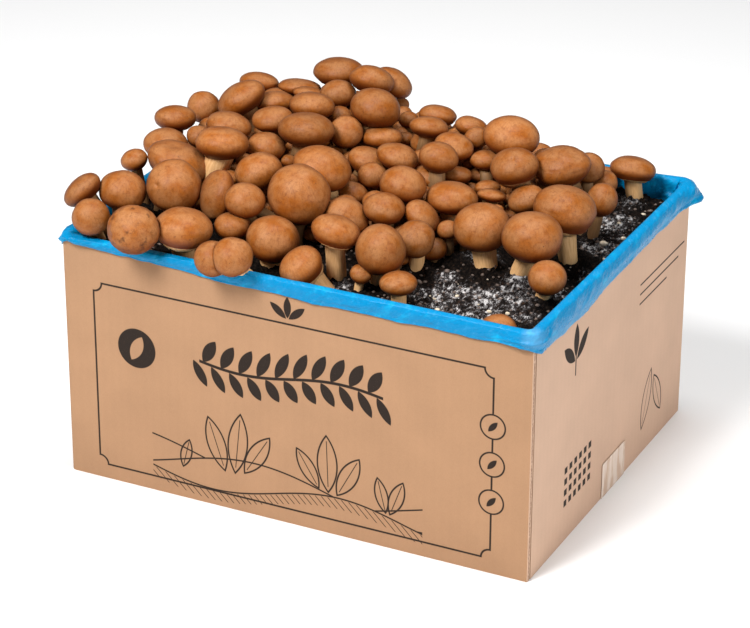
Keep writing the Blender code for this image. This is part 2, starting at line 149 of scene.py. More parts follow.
def wear(piece, made):
    piece.data.materials.clear()
    piece.data.materials.append(made)


def leaf_distance(net, given):
    """Signed distance to a pointed oval: the overlap of two equal discs whose centres lie
    on either side of the leaf's rib."""
    point, centre, angle, length, width = given[:5]
    x, y, _ = net.split(net.vector("SUBTRACT", point, centre))
    cos, sin = net.math("COSINE", angle), net.math("SINE", angle)
    along = net.math("ADD", net.math("MULTIPLY", x, cos), net.math("MULTIPLY", y, sin))
    across = net.math("ABSOLUTE", net.math(
        "SUBTRACT", net.math("MULTIPLY", y, cos), net.math("MULTIPLY", x, sin)))
    # offset of the disc centres from the rib, for half length l and half width w
    squares = net.math("SUBTRACT", net.math("MULTIPLY", length, length),
                       net.math("MULTIPLY", width, width))
    offset = net.math("DIVIDE", squares, net.math("MULTIPLY", width, 2.0))
    reach = net.math("ADD", across, offset)
    radius = net.math("ADD", offset, width)
    distance = net.math("SQRT", net.math(
        "ADD", net.math("MULTIPLY", along, along), net.math("MULTIPLY", reach, reach)))
    rib = net.math("MAXIMUM", across, net.math("SUBTRACT", net.math("ABSOLUTE", along),
                                               net.math("MULTIPLY", length, 0.8)))
    return net.math("SUBTRACT", distance, radius), rib


leaf = group("leaf_shape",
             {"Point": "Vector", "Centre": "Vector", "Angle": "Float",
              "Half Length": "Float", "Half Width": "Float"},
             {"Distance": "Float", "Rib": "Float"}, leaf_distance)


class Ink:
    """Collects printed shapes as distances in millimetres and merges them to one mask."""

    def __init__(self, net, point):
        self.net, self.point, self.total = net, point, None

    def lay(self, distance):
        self.total = distance if self.total is None else self.net.math(
            "MINIMUM", self.total, distance)

    def leaf(self, centre, degrees, length, width, line=None, point=None, rib=0.3):
        """A solid leaf, or with line its outline and rib at that half width."""
        node = self.net.tree.nodes.new("ShaderNodeGroup")
        node.node_tree = leaf
        values = (point or self.point, (*centre, 0), math.radians(degrees), length, width)
        for socket, value in zip(node.inputs, values):
            self.net.put(socket, value)
        if line is None:
            self.lay(node.outputs["Distance"])
            return node.outputs["Distance"]
        edge = self.net.math("SUBTRACT", self.net.math("ABSOLUTE", node.outputs["Distance"]),
                             line)
        self.lay(edge)
        self.lay(self.net.math("SUBTRACT", node.outputs["Rib"], rib))
        return node.outputs["Distance"]

    def away(self, centre):
        return self.net.vector("DISTANCE", self.point, (*centre, 0), output="Value")

    def ring(self, centre, radius, line):
        gap = self.net.math("SUBTRACT", self.away(centre), radius)
        self.lay(self.net.math("SUBTRACT", self.net.math("ABSOLUTE", gap), line))

    def mask(self):
        return self.net.ramp(self.total, 0.25, -0.25)


def front_print(net, x, z):
    """Line work of the front wall: a thin frame with scooped corners, a leafy branch, hills
    with plants along the bottom, three small rings and a dark disc."""
    point = net.join(x, z)
    ink = Ink(net, point)
    half_width, half_height, middle_x, middle_z, scoop = 162.0, 75.5, -1.5, 87.5, 7.0
    fold_x = net.math("ABSOLUTE", net.math("SUBTRACT", x, middle_x))
    fold_z = net.math("ABSOLUTE", net.math("SUBTRACT", z, middle_z))
    past = net.math("MAXIMUM", net.math("SUBTRACT", fold_x, half_width),
                    net.math("SUBTRACT", fold_z, half_height))
    to_corner = net.vector("DISTANCE", net.join(fold_x, fold_z),
                           (half_width, half_height, 0), output="Value")
    sides = net.math("MAXIMUM", net.math("ABSOLUTE", past),
                     net.math("SUBTRACT", scoop, to_corner))
    scoops = net.math("MAXIMUM", net.math("ABSOLUTE", net.math("SUBTRACT", to_corner, scoop)),
                      past)
    ink.lay(net.math("SUBTRACT", net.math("MINIMUM", sides, scoops), 0.75))

    # branch of solid leaves, repeated along the wall
    pitch, reach = 15.0, 75.0
    wave = net.math("MULTIPLY", net.math("SINE", net.math("MULTIPLY", x, 0.038)), 5.0)
    level = net.math("SUBTRACT", z, net.math("ADD", wave, 119.0))
    beyond = net.math("SUBTRACT", net.math("ABSOLUTE", x), reach)
    local = net.math("SUBTRACT", net.math("FLOORED_MODULO", x, pitch), pitch / 2)
    shifted = net.math("SUBTRACT", net.math(
        "FLOORED_MODULO", net.math("ADD", x, pitch / 2), pitch), pitch / 2)
    upper = Ink(net, net.join(local, level))
    upper.leaf((1.0, 10.5), 62, 11.5, 4.6)
    upper.lay(net.math("SUBTRACT", net.math("ABSOLUTE", level), 1.2))
    lower = Ink(net, net.join(shifted, level))
    lower.leaf((0.5, -10.0), -58, 10.5, 4.2)
    ink.lay(net.math("MAXIMUM", upper.total, beyond))
    ink.lay(net.math("MAXIMUM", lower.total, net.math("SUBTRACT", beyond, pitch / 2)))

    # small sprig above the frame's top line
    for centre, degrees in (((-1.5, 176), 90), ((-9, 172.5), 140), ((6, 172.5), 40)):
        ink.leaf(centre, degrees, 8.5, 3.0)

    # hills, one line behind the other, with hatching under the front one
    ground = None
    for height, swell, pace, start in ((22, 9, 0.030, 0.4), (31, 12, 0.024, 2.3),
                                       (36, 15, 0.019, 4.4)):
        crest = net.math("ADD", height, net.math("MULTIPLY", swell, net.math(
            "SINE", net.math("ADD", net.math("MULTIPLY", x, pace), start))))
        line = net.math("SUBTRACT", net.math("ABSOLUTE", net.math("SUBTRACT", z, crest)), 0.65)
        if ground is not None:
            line = net.math("MAXIMUM", line, net.math("SUBTRACT", ground, z))
        ground = crest if ground is None else net.math("MAXIMUM", ground, crest)
        ends = net.math("SUBTRACT", net.math("ABSOLUTE", net.math("SUBTRACT", x, -5.0)), 112.0)
        ink.lay(net.math("MAXIMUM", line, ends))
        if height == 22:
            slant = net.math("FLOORED_MODULO", net.math(
                "ADD", net.math("MULTIPLY", x, 0.7), net.math("MULTIPLY", z, 0.7)), 4.0)
            stroke = net.math("SUBTRACT", net.math("ABSOLUTE", net.math(
                "SUBTRACT", slant, 2.0)), 0.32)
            depth = net.math("SUBTRACT", crest, z)
            band = net.math("MAXIMUM", net.math("SUBTRACT", 1.0, depth),
                            net.math("SUBTRACT", depth, 9.0))
            ink.lay(net.math("MAXIMUM", net.math("MAXIMUM", stroke, band), ends))
    for centre, degrees, length, width in (
            ((-62, 52), 108, 22, 7.5), ((-44, 56), 84, 25, 8), ((-28, 50), 58, 20, 7),
            ((14, 50), 122, 17, 6), ((30, 57), 92, 23, 8), ((47, 50), 62, 19, 7),
            ((74, 42), 104, 14, 5), ((86, 42), 70, 15, 5.5), ((-88, 38), 76, 12, 4.5)):
        ink.leaf(centre, degrees, length, width, line=0.65, rib=0.35)

    for z_ring in (58, 88, 118):
        inside = net.math("SUBTRACT", ink.away((160.5, z_ring)), 9.5)
        clear = net.math("MULTIPLY", inside, -1.0)
        ink.total = net.math("MAXIMUM", ink.total, clear)
        ink.ring((160.5, z_ring), 9.5, 0.65)
        ink.leaf((160.5, z_ring), 50, 5.5, 2.2)

    disc = net.math("SUBTRACT", ink.away((-128, 116)), 16.0)
    inner = Ink(net, point)
    inner.leaf((-128, 116), 65, 10.0, 4.2)
    ink.lay(net.math("MAXIMUM", disc, net.math("SUBTRACT", 0.8, inner.total)))
    return ink.mask()


def side_print(net, y, z):
    """Line work of the right wall: a sprig, two outlined leaves and three plain stripes."""
    ink = Ink(net, net.join(y, z))
    for centre, degrees in (((-74, 158), 90), ((-86, 151), 140), ((-62, 151), 40)):
        ink.leaf(centre, degrees, 13.5, 4.8)
    stem = net.math("MAXIMUM", net.math("SUBTRACT", net.math("ABSOLUTE", net.math(
        "ADD", y, 74.0)), 0.9), net.math("SUBTRACT", net.math("ABSOLUTE", net.math(
            "SUBTRACT", z, 139.0)), 9.0))
    ink.lay(stem)
    ink.leaf((74, 44), 70, 24, 8, line=0.65)
    ink.leaf((97, 40), 115, 20, 7, line=0.65)
    for level, width in ((150, 46), (142, 40), (134, 28)):
        bar = net.math("MAXIMUM", net.math("SUBTRACT", net.math("ABSOLUTE", net.math(
            "SUBTRACT", z, float(level))), 0.7), net.math("SUBTRACT", net.math(
                "ABSOLUTE", net.math("SUBTRACT", y, 50.0 + width)), float(width)))
        ink.lay(bar)
    row_y = net.math("SUBTRACT", net.math("ABSOLUTE", net.math("SUBTRACT", net.math(
        "FLOORED_MODULO", y, 9.0), 4.5)), 2.6)
    row_z = net.math("SUBTRACT", net.math("ABSOLUTE", net.math("SUBTRACT", net.math(
        "FLOORED_MODULO", z, 9.0), 4.5)), 2.6)
    patch = net.math("MAXIMUM", net.math("SUBTRACT", net.math("ABSOLUTE", net.math(
        "ADD", y, 63.0)), 27.0), net.math("SUBTRACT", net.math("ABSOLUTE", net.math(
            "SUBTRACT", z, 45.0)), 18.0))
    ink.lay(net.math("MAXIMUM", net.math("MAXIMUM", row_y, row_z), patch))
    return ink.mask()


def kraft_paper(net, given):
    """Brown paper: fibres, a slow cloudiness and the flutes showing through."""
    point = given[0]
    fibres = net.noise(net.scale(point, (1.0, 1.0, 0.6)), 1.3, 3.0, 0.65)
    clouds = net.noise(point, 0.028, 3.0, 0.5)
    x, y, z = net.split(point)
    flutes = net.math("SINE", net.math("MULTIPLY", net.math("ADD", x, y), 0.9))
    tone = net.math("ADD", net.math("MULTIPLY", net.math("SUBTRACT", fibres, 0.5), 0.16),
                    net.math("MULTIPLY", net.math("SUBTRACT", clouds, 0.5), 0.22))
    tone = net.math("ADD", tone, net.math("MULTIPLY", flutes, 0.006))
    specks = net.ramp(net.noise(point, 2.6, 1.0), 0.73, 0.80)
    tone = net.math("SUBTRACT", net.math("ADD", tone, 1.0), net.math("MULTIPLY", specks, 0.18))
    height = net.math("ADD", net.math("MULTIPLY", flutes, 0.3), fibres)
    return tone, height


kraft = group("kraft_paper", {"Point": "Vector"}, {"Tone": "Float", "Height": "Float"},
              kraft_paper)


def carton_look(net):
    point = net.place()
    x, y, z = net.split(point)
    normal = net.split(net.add("ShaderNodeNewGeometry", output="True Normal"))
    paper = net.tree.nodes.new("ShaderNodeGroup")
    paper.node_tree = kraft
    net.put(paper.inputs[0], point)
    front = net.math("LESS_THAN", normal[1], -0.7)
    right = net.math("GREATER_THAN", normal[0], 0.7)
    edge = net.math("MULTIPLY", right, net.math("LESS_THAN", y, -148.0))
    ink = net.math("ADD", net.math("MULTIPLY", front, front_print(net, x, z)),
                   net.math("MULTIPLY", right, side_print(net, y, z)), clamp=True)
    worn = net.ramp(net.noise(point, 1.6, 2.0, 0.7), 0.22, 0.36, 0.75, 1.0)
    # painted sheen: the right wall gets a paler, pinker colour than the front for the light it
    # catches
    colour = net.mix(right, (0.395, 0.224, 0.124), (0.60, 0.40, 0.285))
    # painted shade: the open flutes in the middle of the front panel's raw edge are darkened
    core = net.math("ABSOLUTE", net.math("ADD", y, 150.0))
    flute_shade = net.math("MULTIPLY", edge, net.ramp(core, 1.5, 0.7))
    ragged = net.ramp(net.noise(net.scale(point, (1, 1, 0.5)), 0.9, 2.0), 0.35, 0.6)
    colour = net.mix(net.math("MULTIPLY", flute_shade, net.math("MULTIPLY", ragged, 0.75)),
                     colour, (0.19, 0.09, 0.04))
    colour = net.mix(1.0, colour, net.join(*[paper.outputs["Tone"]] * 3), "MULTIPLY")
    colour = net.mix(net.math("MULTIPLY", ink, net.math("MULTIPLY", worn, 0.97)), colour,
                     (0.012, 0.009, 0.008))
    return {"Base Color": colour, "Roughness": 0.82, "Specular IOR Level": 0.18,
            "Normal": net.bump(paper.outputs["Height"], 0.06 * MM, 0.5)}


wear(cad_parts["carton"], material("kraft_board", carton_look))


# Packing tape. One clear strip over the flap joint and up both end walls: glossy, slightly
# milky where it has lifted, with the brown board showing through.

def tape_look(net):
    point = net.place()
    lifted = net.ramp(net.noise(net.scale(point, (0.4, 1.0, 0.25)), 0.12, 3.0), 0.42, 0.62)
    colour = net.mix(lifted, (0.58, 0.39, 0.27), (0.74, 0.60, 0.49))
    ripples = net.noise(net.scale(point, (1.0, 1.0, 0.2)), 0.25, 2.0)
    return {"Base Color": colour, "Roughness": 0.22, "Specular IOR Level": 0.5,
            "Normal": net.bump(ripples, 0.3 * MM, 0.4)}


wear(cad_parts["tape_strip"], material("clear_tape", tape_look))


# Film bag. Thin blue film that lies over the floor, runs up inside the walls, and is folded
# over the rim and down outside in a loose, creased band with a wavy hem.

CLEARANCE = 0.4 * MM


def noise(points, size, seed=0.0):
    """Smooth noise of about -1 to 1 at each point: pseudo-random values on a cubic lattice
    of the given cell size, blended across each cell by a smooth step."""
    spot = np.asarray(points, float) / size + 31.7 * seed
    cell = np.floor(spot).astype(np.int64)
    share = spot - cell
    share = share * share * (3 - 2 * share)
    total = 0.0
    for corner in range(8):
        step = np.array([corner & 1, corner >> 1 & 1, corner >> 2])
        key = ((cell + step) * np.array([73856093, 19349663, 83492791])).sum(axis=-1)
        key = (key ^ (key >> 13)) * 1274126177 & 0x7fffffff
        value = ((key ^ (key >> 15)) & 0xffff) / 32768.0 - 1
        total = total + value * np.prod(np.where(step, share, 1 - share), axis=-1)
    return total


def creases(points, size, seed=0.0):
    """Sharp folds from 0 to 1: one less the size of the noise, squared, so that it peaks in
    a narrow ridge wherever the noise passes through nought."""
    return (1 - np.clip(np.abs(noise(points, size, seed)) * 2.2, 0, 1)) ** 2


def mesh_piece(name, points, faces, made, values=None):
    """A smooth mesh from points (n, 3) and faces, a list of index arrays (m, 3) or (m, 4).
    values maps attribute names to one number or one vector for each point."""
    mesh = bpy.data.meshes.new(name)
    mesh.vertices.add(len(points))
    mesh.vertices.foreach_set("co", np.asarray(points, np.float32).ravel())
    sizes = np.concatenate([np.full(len(f), f.shape[1]) for f in faces])
    mesh.loops.add(int(sizes.sum()))
    mesh.loops.foreach_set("vertex_index", np.concatenate([f.ravel() for f in faces]))
    mesh.polygons.add(len(sizes))
    mesh.polygons.foreach_set("loop_start", np.concatenate([[0], np.cumsum(sizes)[:-1]]))
    mesh.polygons.foreach_set("use_smooth", np.ones(len(sizes), bool))
    for key, value in (values or {}).items():
        vector = np.ndim(value) == 2
        layer = mesh.attributes.new(key, "FLOAT_VECTOR" if vector else "FLOAT", "POINT")
        layer.data.foreach_set("vector" if vector else "value",
                               np.asarray(value, np.float32).ravel())
    mesh.update(calc_edges=True)
    mesh.validate()
    mesh.materials.append(made)
    piece = bpy.data.objects.new(name, mesh)
    bpy.context.scene.collection.objects.link(piece)
    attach(piece, "root")
    return piece


def closed_rows(rows, around, first=0):
    """Faces of a closed surface made of a pole, rings of points from it to the far end, and
    a second pole. The points are numbered pole, rings in order, pole."""
    k = np.arange(around)
    after = (k + 1) % around
    start = first + 1 + around * np.arange(rows)[:, None]
    quads = np.stack([start[:-1] + k, start[1:] + k, start[1:] + after, start[:-1] + after],
                     axis=2).reshape(-1, 4)
    last = first + 1 + rows * around
    top = np.stack([np.full(around, first), start[0] + k, start[0] + after], axis=1)
    bottom = np.stack([np.full(around, last), start[-1] + after, start[-1] + k], axis=1)
    return [quads, top, bottom]


def round_box(inset, radius, count):
    """Points spaced evenly round a rectangle with round corners, anticlockwise from the
    front left, set in from the carton's outer faces by inset, with the outward normals."""
    half = np.array([BOX_WIDTH / 2 - inset - radius, BOX_DEPTH / 2 - inset - radius])
    corner = radius * math.pi / 2
    lengths = np.array([2 * half[0], corner, 2 * half[1], corner] * 2)
    ends = np.concatenate([[0], np.cumsum(lengths)])
    s = np.arange(count) / count * ends[-1]
    part = np.searchsorted(ends, s, side="right") - 1
    along = (s - ends[part]) / lengths[part]
    side = part // 2
    turn = (side - 1 + np.where(part % 2, along, 0)) * math.pi / 2
    normal = np.stack([np.cos(turn), np.sin(turn)], axis=1)
    tangent = np.stack([-np.sin(turn), np.cos(turn)], axis=1)
    straight = np.where(part % 2, 1.0, 2 * along - 1)[:, None]
    side_dir = np.stack([np.cos(side * math.pi / 2), np.sin(side * math.pi / 2)], axis=1)
    side_out = np.stack([side_dir[:, 1], -side_dir[:, 0]], axis=1)
    spot = side_dir * half * straight + side_out * half + radius * normal
    return spot, normal, tangent, s


def film_surface(around):
    """The bag's outer skin, as rings from the middle of the floor up the wall, over the rim
    and down to the hem. Each ring is a rounded rectangle, and each point is moved off the
    board by creases that slant along the wall, deepest at the corners and at the fold."""
    wall = BOARD + CLEARANCE
    hem_shares = np.linspace(0, 1, 18)
    path = [(wall, FLOOR + CLEARANCE, 0.0), (wall, 60 * MM, 0.0), (wall, 120 * MM, 0.0)]
    path += [(wall, z * MM, min(1.0, (z - 158) / 14)) for z in
             (160, 165, *np.arange(168, 193, 1.8))]
    path += [(wall, 194.6 * MM, 0.5)]
    path += [(wall - share * (BOARD + 2 * CLEARANCE),
              BOX_HEIGHT + (0.4 + 0.4 * math.sin(math.pi * share)) * MM, 0.3)
             for share in (0.05, 0.3, 0.6, 0.9)]
    path += [(-CLEARANCE, BOX_HEIGHT + 0.4 * MM, 1.0) for _ in hem_shares]
    rings = []
    for number, (inset, height, loose) in enumerate(path):
        radius = max(8.0 * MM - inset, 3.0 * MM)
        spot, normal, tangent, s = round_box(inset, radius, around)
        x, y = spot[:, 0] / BOX_WIDTH * 2, spot[:, 1] / BOX_DEPTH * 2
        corner = np.clip((np.abs(x) + np.abs(y) - 1.80) / 0.20, 0, 1)
        far_right = corner * (x > 0) * (y > 0)
        facing = np.clip(np.stack([-normal[:, 1], normal[:, 0], normal[:, 1], -normal[:, 0]]),
                         0, 1) ** 2
        drop = np.full(len(s), BOX_HEIGHT - height)
        if inset < 0:
            # the band is narrowest at the front left and widest on the near right wall
            share = hem_shares[number - len(path)]
            band = facing * np.stack([11.4 - 7.5 * np.clip((-0.25 - x) / 0.75, 0, 1),
                                      14.5 + 6.5 * np.exp(-((y + 0.5) / 0.42) ** 2),
                                      14 + 0 * x, 12 + 0 * x])
            drop = share * band.sum(axis=0) * MM
            bulge = math.sin(math.pi * min(share + 0.12, 0.93)) * (facing.T @ [1.3, 3.0, 2, 2])
            spot = spot + normal * bulge[:, None] * MM
        # long folds along the wall, and shorter ones that slant across it
        rolled = np.stack([0.30 * s, 2.0 * drop, 0 * s + 0.3 * drop], axis=1)
        slant = np.stack([s + 1.1 * drop, 0.30 * drop - 0.16 * s, 0 * s], axis=1)
        folds = 1.2 * creases(rolled, 15 * MM, 1) + 1.7 * creases(slant, 21 * MM, 2)
        folds += 0.8 * creases(slant * [1.6, 1.0, 1.0], 9 * MM, 6)
        folds += 0.5 * noise(slant, 24 * MM, 3)
        lift = np.clip(folds, 0, None) * (0.45 + 1.1 * corner) * loose * MM
        if inset < 0:
            pleat = 0.6 + 0.8 * creases(slant, 13 * MM, 9)
            lift += (far_right ** 2 * 6.5 * pleat + 0.6 * corner) * (0.5 + share) * MM
            height = height - drop
            hem = 1.3 * noise(slant, 30 * MM, 4) + 0.6 * noise(slant, 9 * MM, 5)
            height = height + (share ** 2 * hem + 0.3 * noise(slant, 40 * MM, 8)) * MM
            spot = spot + normal * lift[:, None]
        elif inset >= wall:
            near_side = np.clip(0.9 - 1.2 * (x - y), 0.15, 1) + facing[2]
            deep = lift * np.clip(near_side, 0, 1) * (1 + 3.4 * far_right + 1.6 * corner)
            spot = spot - normal * deep[:, None]
        else:
            height = height + lift * 0.4 + far_right * 2.2 * MM
        rings.append(np.column_stack([spot, np.broadcast_to(height, len(s))]))
    return np.array(rings)


def ring_normals(rings):
    """Normals of a grid of points that is closed in its second direction."""
    along = np.gradient(rings, axis=0)
    across = np.roll(rings, -1, axis=1) - np.roll(rings, 1, axis=1)
    normal = np.cross(across, along)
    return normal / (np.linalg.norm(normal, axis=2, keepdims=True) + 1e-12)


def film_look(net):
    point = net.place()
    x, y, z = net.split(point)
    slanted = net.join(net.math("ADD", x, y), net.math("MULTIPLY", z, 0.9),
                       net.math("SUBTRACT", x, net.math("MULTIPLY", z, 1.5)))
    streaks = net.noise(slanted, 0.075, 4.0, 0.6)
    pale = net.ramp(streaks, 0.52, 0.76)
    worn = net.ramp(net.noise(slanted, 0.20, 3.0, 0.6), 0.54, 0.74)
    colour = net.mix(pale, (0.0, 0.22, 0.47), (0.0, 0.34, 0.62))
    colour = net.mix(net.math("MULTIPLY", worn, 0.16), colour, (0.20, 0.52, 0.74))
    # one layer of film is paler than two: along the hem of the right wall, and where the
    # bag is stretched over the near corner
    single = net.math("MULTIPLY", net.ramp(z, 184.0, 178.0), net.math("GREATER_THAN", x, 188.0))
    stretched = net.ramp(net.vector("DISTANCE", point, (188.0, -150.0, 192.0), output="Value"),
                         11.0, 5.0)
    share = net.math("MAXIMUM", net.math("MULTIPLY", single, 0.45),
                     net.math("MULTIPLY", stretched, 0.35))
    colour = net.mix(share, colour, (0.17, 0.36, 0.56))
    fine = net.math("ABSOLUTE", net.math("SUBTRACT", net.noise(slanted, 0.16, 3.0, 0.55), 0.5))
    return {"Base Color": colour, "Roughness": net.ramp(streaks, 0.3, 0.7, 0.24, 0.40),
            "Specular IOR Level": 0.15, "Normal": net.bump(fine, 2.2 * MM, 0.6)}


def make_film(around=760, thickness=0.25 * MM):
    """Outer skin and, one thickness inside it, the inner skin, joined at the hem."""
    outer = film_surface(around)
    inner = (outer - thickness * ring_normals(outer))[::-1]
    rings = np.concatenate([outer, inner])
    poles = [[0, 0, outer[0, 0, 2]], [0, 0, inner[-1, 0, 2]]]
    points = np.concatenate([[poles[0]], rings.reshape(-1, 3), [poles[1]]])
    faces = closed_rows(len(rings), around)
    piece = mesh_piece("film_bag", points, faces, material("blue_film", film_look))
    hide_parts("liner")
    return piece


film_bag = make_film(760)


# Compost and peat. One dark, crumbly block that fills the bag; its top is peat with clods,
# small crumbs and white threads of spawn, most of them where no mushrooms stand.

PEAT_DEPTH, PEAT_FALL = 17 * MM, 3 * MM
# Where the peat is heaped round the foot of a mushroom: right, back and height, in mm
MOUNDS = [(105, -41, 7), (128, -43, 8), (151, 10, 8), (157, -72, 6), (149, 137, 7), (60, -5, 6),
          (42, -86, 5), (-40, -106, 4), (9, -104, 5), (16, -122, 3), (69, -116, 4),
          (37, -120, 4), (152, -122, 4)]
# Where spawn has grown over the peat: right, back and reach, in mm
SPAWN = [(98, -80, 17), (120, -78, 15), (147, -82, 15), (141, -112, 21), (116, -110, 17),
         (130, -94, 17), (158, -100, 12), (92, -22, 13), (135, -60, 15), (127, 98, 16),
         (154, 82, 18), (178, 64, 12), (163, 38, 17), (168, -52, 14), (150, 120, 14),
         (172, -8, 10), (104, -130, 11), (64, -128, 10), (24, -116, 8), (84, -92, 14),
         (94, -106, 14), (82, -60, 8)]


def peat_height(x, y):
    """Level of the peat: gentle swells, falling a little towards the right."""
    swell = 1.4 * MM * np.sin(x / (44 * MM) + 0.6) * np.cos(y / (37 * MM))
    swell = swell + 0.9 * MM * np.sin((x + y) / (31 * MM))
    return BOX_HEIGHT - PEAT_DEPTH - PEAT_FALL * x / (BOX_WIDTH / 2) + swell


def peat_relief(x, y):
    """Height of the clods over the level of the peat: rounded lumps at three sizes, the
    sum of the noise's size at each, so that clods are round and the gaps between sharp."""
    flat = np.stack([x, y, 0 * x], axis=-1)
    lumps = sum(height * (0.9 - 2 * np.abs(noise(flat, size * MM, seed)))
                for height, size, seed in ((2.6, 14, 11), (1.9, 6.5, 12), (1.2, 3.0, 13)))
    crowd = np.clip((75 * MM + 0.55 * np.clip(y + 95 * MM, 0, None) - x) / (40 * MM), 0, 1)
    mound = 3.5 * crowd
    for right, back, height in MOUNDS:
        away = ((x - right * MM) ** 2 + (y - back * MM) ** 2) / (17 * MM) ** 2
        mound = np.maximum(mound, height * np.exp(-away))
    return (lumps + 1.6 * noise(flat, 34 * MM, 14) + mound) * MM


def spawn_cover(x, y):
    """How thick the spawn lies, from 0 to 1: soft round patches with edges frayed by noise."""
    flat = np.stack([x, y, 0 * x], axis=-1)
    cover = np.zeros_like(x)
    for right, back, reach in SPAWN:
        away = np.hypot(x - right * MM, y - back * MM) / (reach * MM)
        cover = np.maximum(cover, np.clip(1.35 - away, 0, 1))
    frayed = cover + 0.30 * noise(flat, 9 * MM, 31) + 0.22 * noise(flat, 3.6 * MM, 32)
    return np.clip(frayed, 0, 1) * (cover > 0)


def peat_look(net):
    point = net.place()
    grain = net.noise(point, 0.55, 5.0, 0.62)
    colour = net.mix(net.ramp(grain, 0.40, 0.75), (0.003, 0.0022, 0.002), (0.028, 0.018, 0.013))
    straw = net.math("MULTIPLY", net.ramp(net.noise(point, 0.30, 2.0), 0.62, 0.72), 0.45)
    colour = net.mix(straw, colour, (0.065, 0.030, 0.016))
    # a grey veil of spawn, and white tufts where it is thickest
    spawn = net.attribute("spawn")
    fluff = net.noise(net.scale(point, (1.0, 0.6, 1.0)), 0.30, 6.0, 0.78)
    veil = net.ramp(net.math("ADD", fluff, net.math("MULTIPLY", spawn, 0.13)), 0.54, 0.66)
    veil = net.math("MULTIPLY", veil, net.ramp(spawn, 0.0, 0.2))
    colour = net.mix(net.math("MULTIPLY", veil, 0.7), colour, (0.13, 0.115, 0.115))
    white = net.ramp(net.math("ADD", fluff, net.math("MULTIPLY", spawn, 0.13)), 0.62, 0.68)
    white = net.math("MULTIPLY", white, net.ramp(spawn, 0.0, 0.2))
    colour = net.mix(net.math("MULTIPLY", white, 0.95), colour, (0.66, 0.63, 0.62))
    height = net.math("ADD", grain, net.math("MULTIPLY", white, 0.5))
    return {"Base Color": colour, "Roughness": 0.95, "Specular IOR Level": 0.08,
            "Normal": net.bump(height, 2.2 * MM, 1.0)}


def make_peat(columns=290, lines=225):
    """A grid over the bag's opening, finer towards the front right, lifted to the peat's
    relief, with a wall down to the bag's floor and a flat underside."""
    u, v = np.linspace(0, 1, columns), np.linspace(0, 1, lines)
    inset = BOARD + 2 * CLEARANCE + 0.4 * MM
    half_x, half_y = BOX_WIDTH / 2 - inset, BOX_DEPTH / 2 - inset
    x = half_x * (2 * (1.25 * u - 0.25 * u * u) - 1)
    y = half_y * (2 * (0.75 * v + 0.25 * v * v) - 1)
    x, y = np.meshgrid(x, y)
    near = np.minimum(half_x - np.abs(x), half_y - np.abs(y))
    corner = np.clip(np.abs(x) / half_x + np.abs(y) / half_y - 1.93, 0, None) / 0.07
    calm = np.clip(near / (5 * MM), 0, 1)
    z = peat_height(x, y) + peat_relief(x, y) * (0.35 + 0.65 * calm)
    top = np.stack([x * (1 - 0.008 * corner), y * (1 - 0.010 * corner), z], axis=-1)
    index = np.arange(lines * columns).reshape(lines, columns)
    quads = np.stack([index[:-1, :-1], index[:-1, 1:], index[1:, 1:], index[1:, :-1]],
                     axis=-1).reshape(-1, 4)
    rim = np.concatenate([index[0, :-1], index[:-1, -1], index[-1, :0:-1], index[:0:-1, 0]])
    points = top.reshape(-1, 3)
    foot = points[rim].copy()
    foot[:, 2] = FLOOR + 2 * CLEARANCE + 0.4 * MM
    base = len(points) + np.arange(len(rim))
    after = np.roll(np.arange(len(rim)), -1)
    wall = np.stack([rim, base, base[after], rim[after]], axis=1)
    middle = len(points) + len(rim)
    under = np.stack([base[after], base, np.full(len(rim), middle)], axis=1)
    points = np.concatenate([points, foot, [[0, 0, foot[0, 2]]]])
    return mesh_piece("compost_and_peat", points, [quads, wall, under],
                      material("peat", peat_look),
                      {"spawn": spawn_cover(points[:, 0], points[:, 1])})


peat = make_peat()
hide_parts("compost_block")


def crumbs(centres, sizes, seed, rows=5, around=8):
    """Small lumps: a ball for each centre, as rings from pole to pole, with each point's
    distance from the centre set by noise."""
    polar = np.arange(1, rows + 1) / (rows + 1) * math.pi
    turn = np.arange(around) / around * 2 * math.pi
    ball = np.stack([np.sin(polar)[:, None] * np.cos(turn), np.sin(polar)[:, None]
                     * np.sin(turn), np.cos(polar)[:, None] + 0 * turn], axis=-1)
    ball = np.concatenate([[[0, 0, 1]], ball.reshape(-1, 3), [[0, 0, -1]]])
    shift = np.arange(len(centres))[:, None, None] * 7.3
    bumps = 1 + 0.45 * noise(ball[None] + shift, 0.9, seed)
    points = centres[:, None] + ball * bumps[..., None] * sizes[:, None]
    faces = closed_rows(rows, around)
    step = len(ball) * np.arange(len(centres))[:, None, None]
    return points.reshape(-1, 3), [(f[None] + step).reshape(-1, f.shape[1]) for f in faces]


def scatter(count, low, high, seed):
    """Places spread over a rectangle in a fixed order without clumps."""
    k = np.arange(count) + seed
    share = np.stack([(k * 0.7548776662) % 1, (k * 0.5698402910) % 1], axis=1)
    return np.array(low) + share * (np.array(high) - np.array(low))


def make_crumbs():
    spots = scatter(1500, (-0.181, -0.143), (0.181, 0.143), 3)
    keep = noise(np.column_stack([spots, 0 * spots[:, 0]]), 25 * MM, 21) > -0.25
    spots = spots[keep]
    random = 0.5 + 0.5 * noise(np.column_stack([spots * 13, 0 * spots[:, 0]]), 5 * MM, 22)
    sizes = (0.8 + 1.6 * random ** 3)[:, None] * np.array([1.2, 1.0, 0.8]) * MM
    z = peat_height(*spots.T) + peat_relief(*spots.T) + 0.3 * sizes[:, 2]
    points, faces = crumbs(np.column_stack([spots, z]), sizes, 23)
    mesh_piece("peat_crumbs", points, faces, bpy.data.materials["peat"])


make_crumbs()


def grain_look(net):
    point = net.place()
    tone = net.noise(point, 0.5, 3.0, 0.6)
    colour = net.mix(tone, (0.42, 0.30, 0.18), (0.80, 0.72, 0.58))
    return {"Base Color": colour, "Roughness": 0.75,
            "Normal": net.bump(tone, 0.8 * MM, 0.6)}


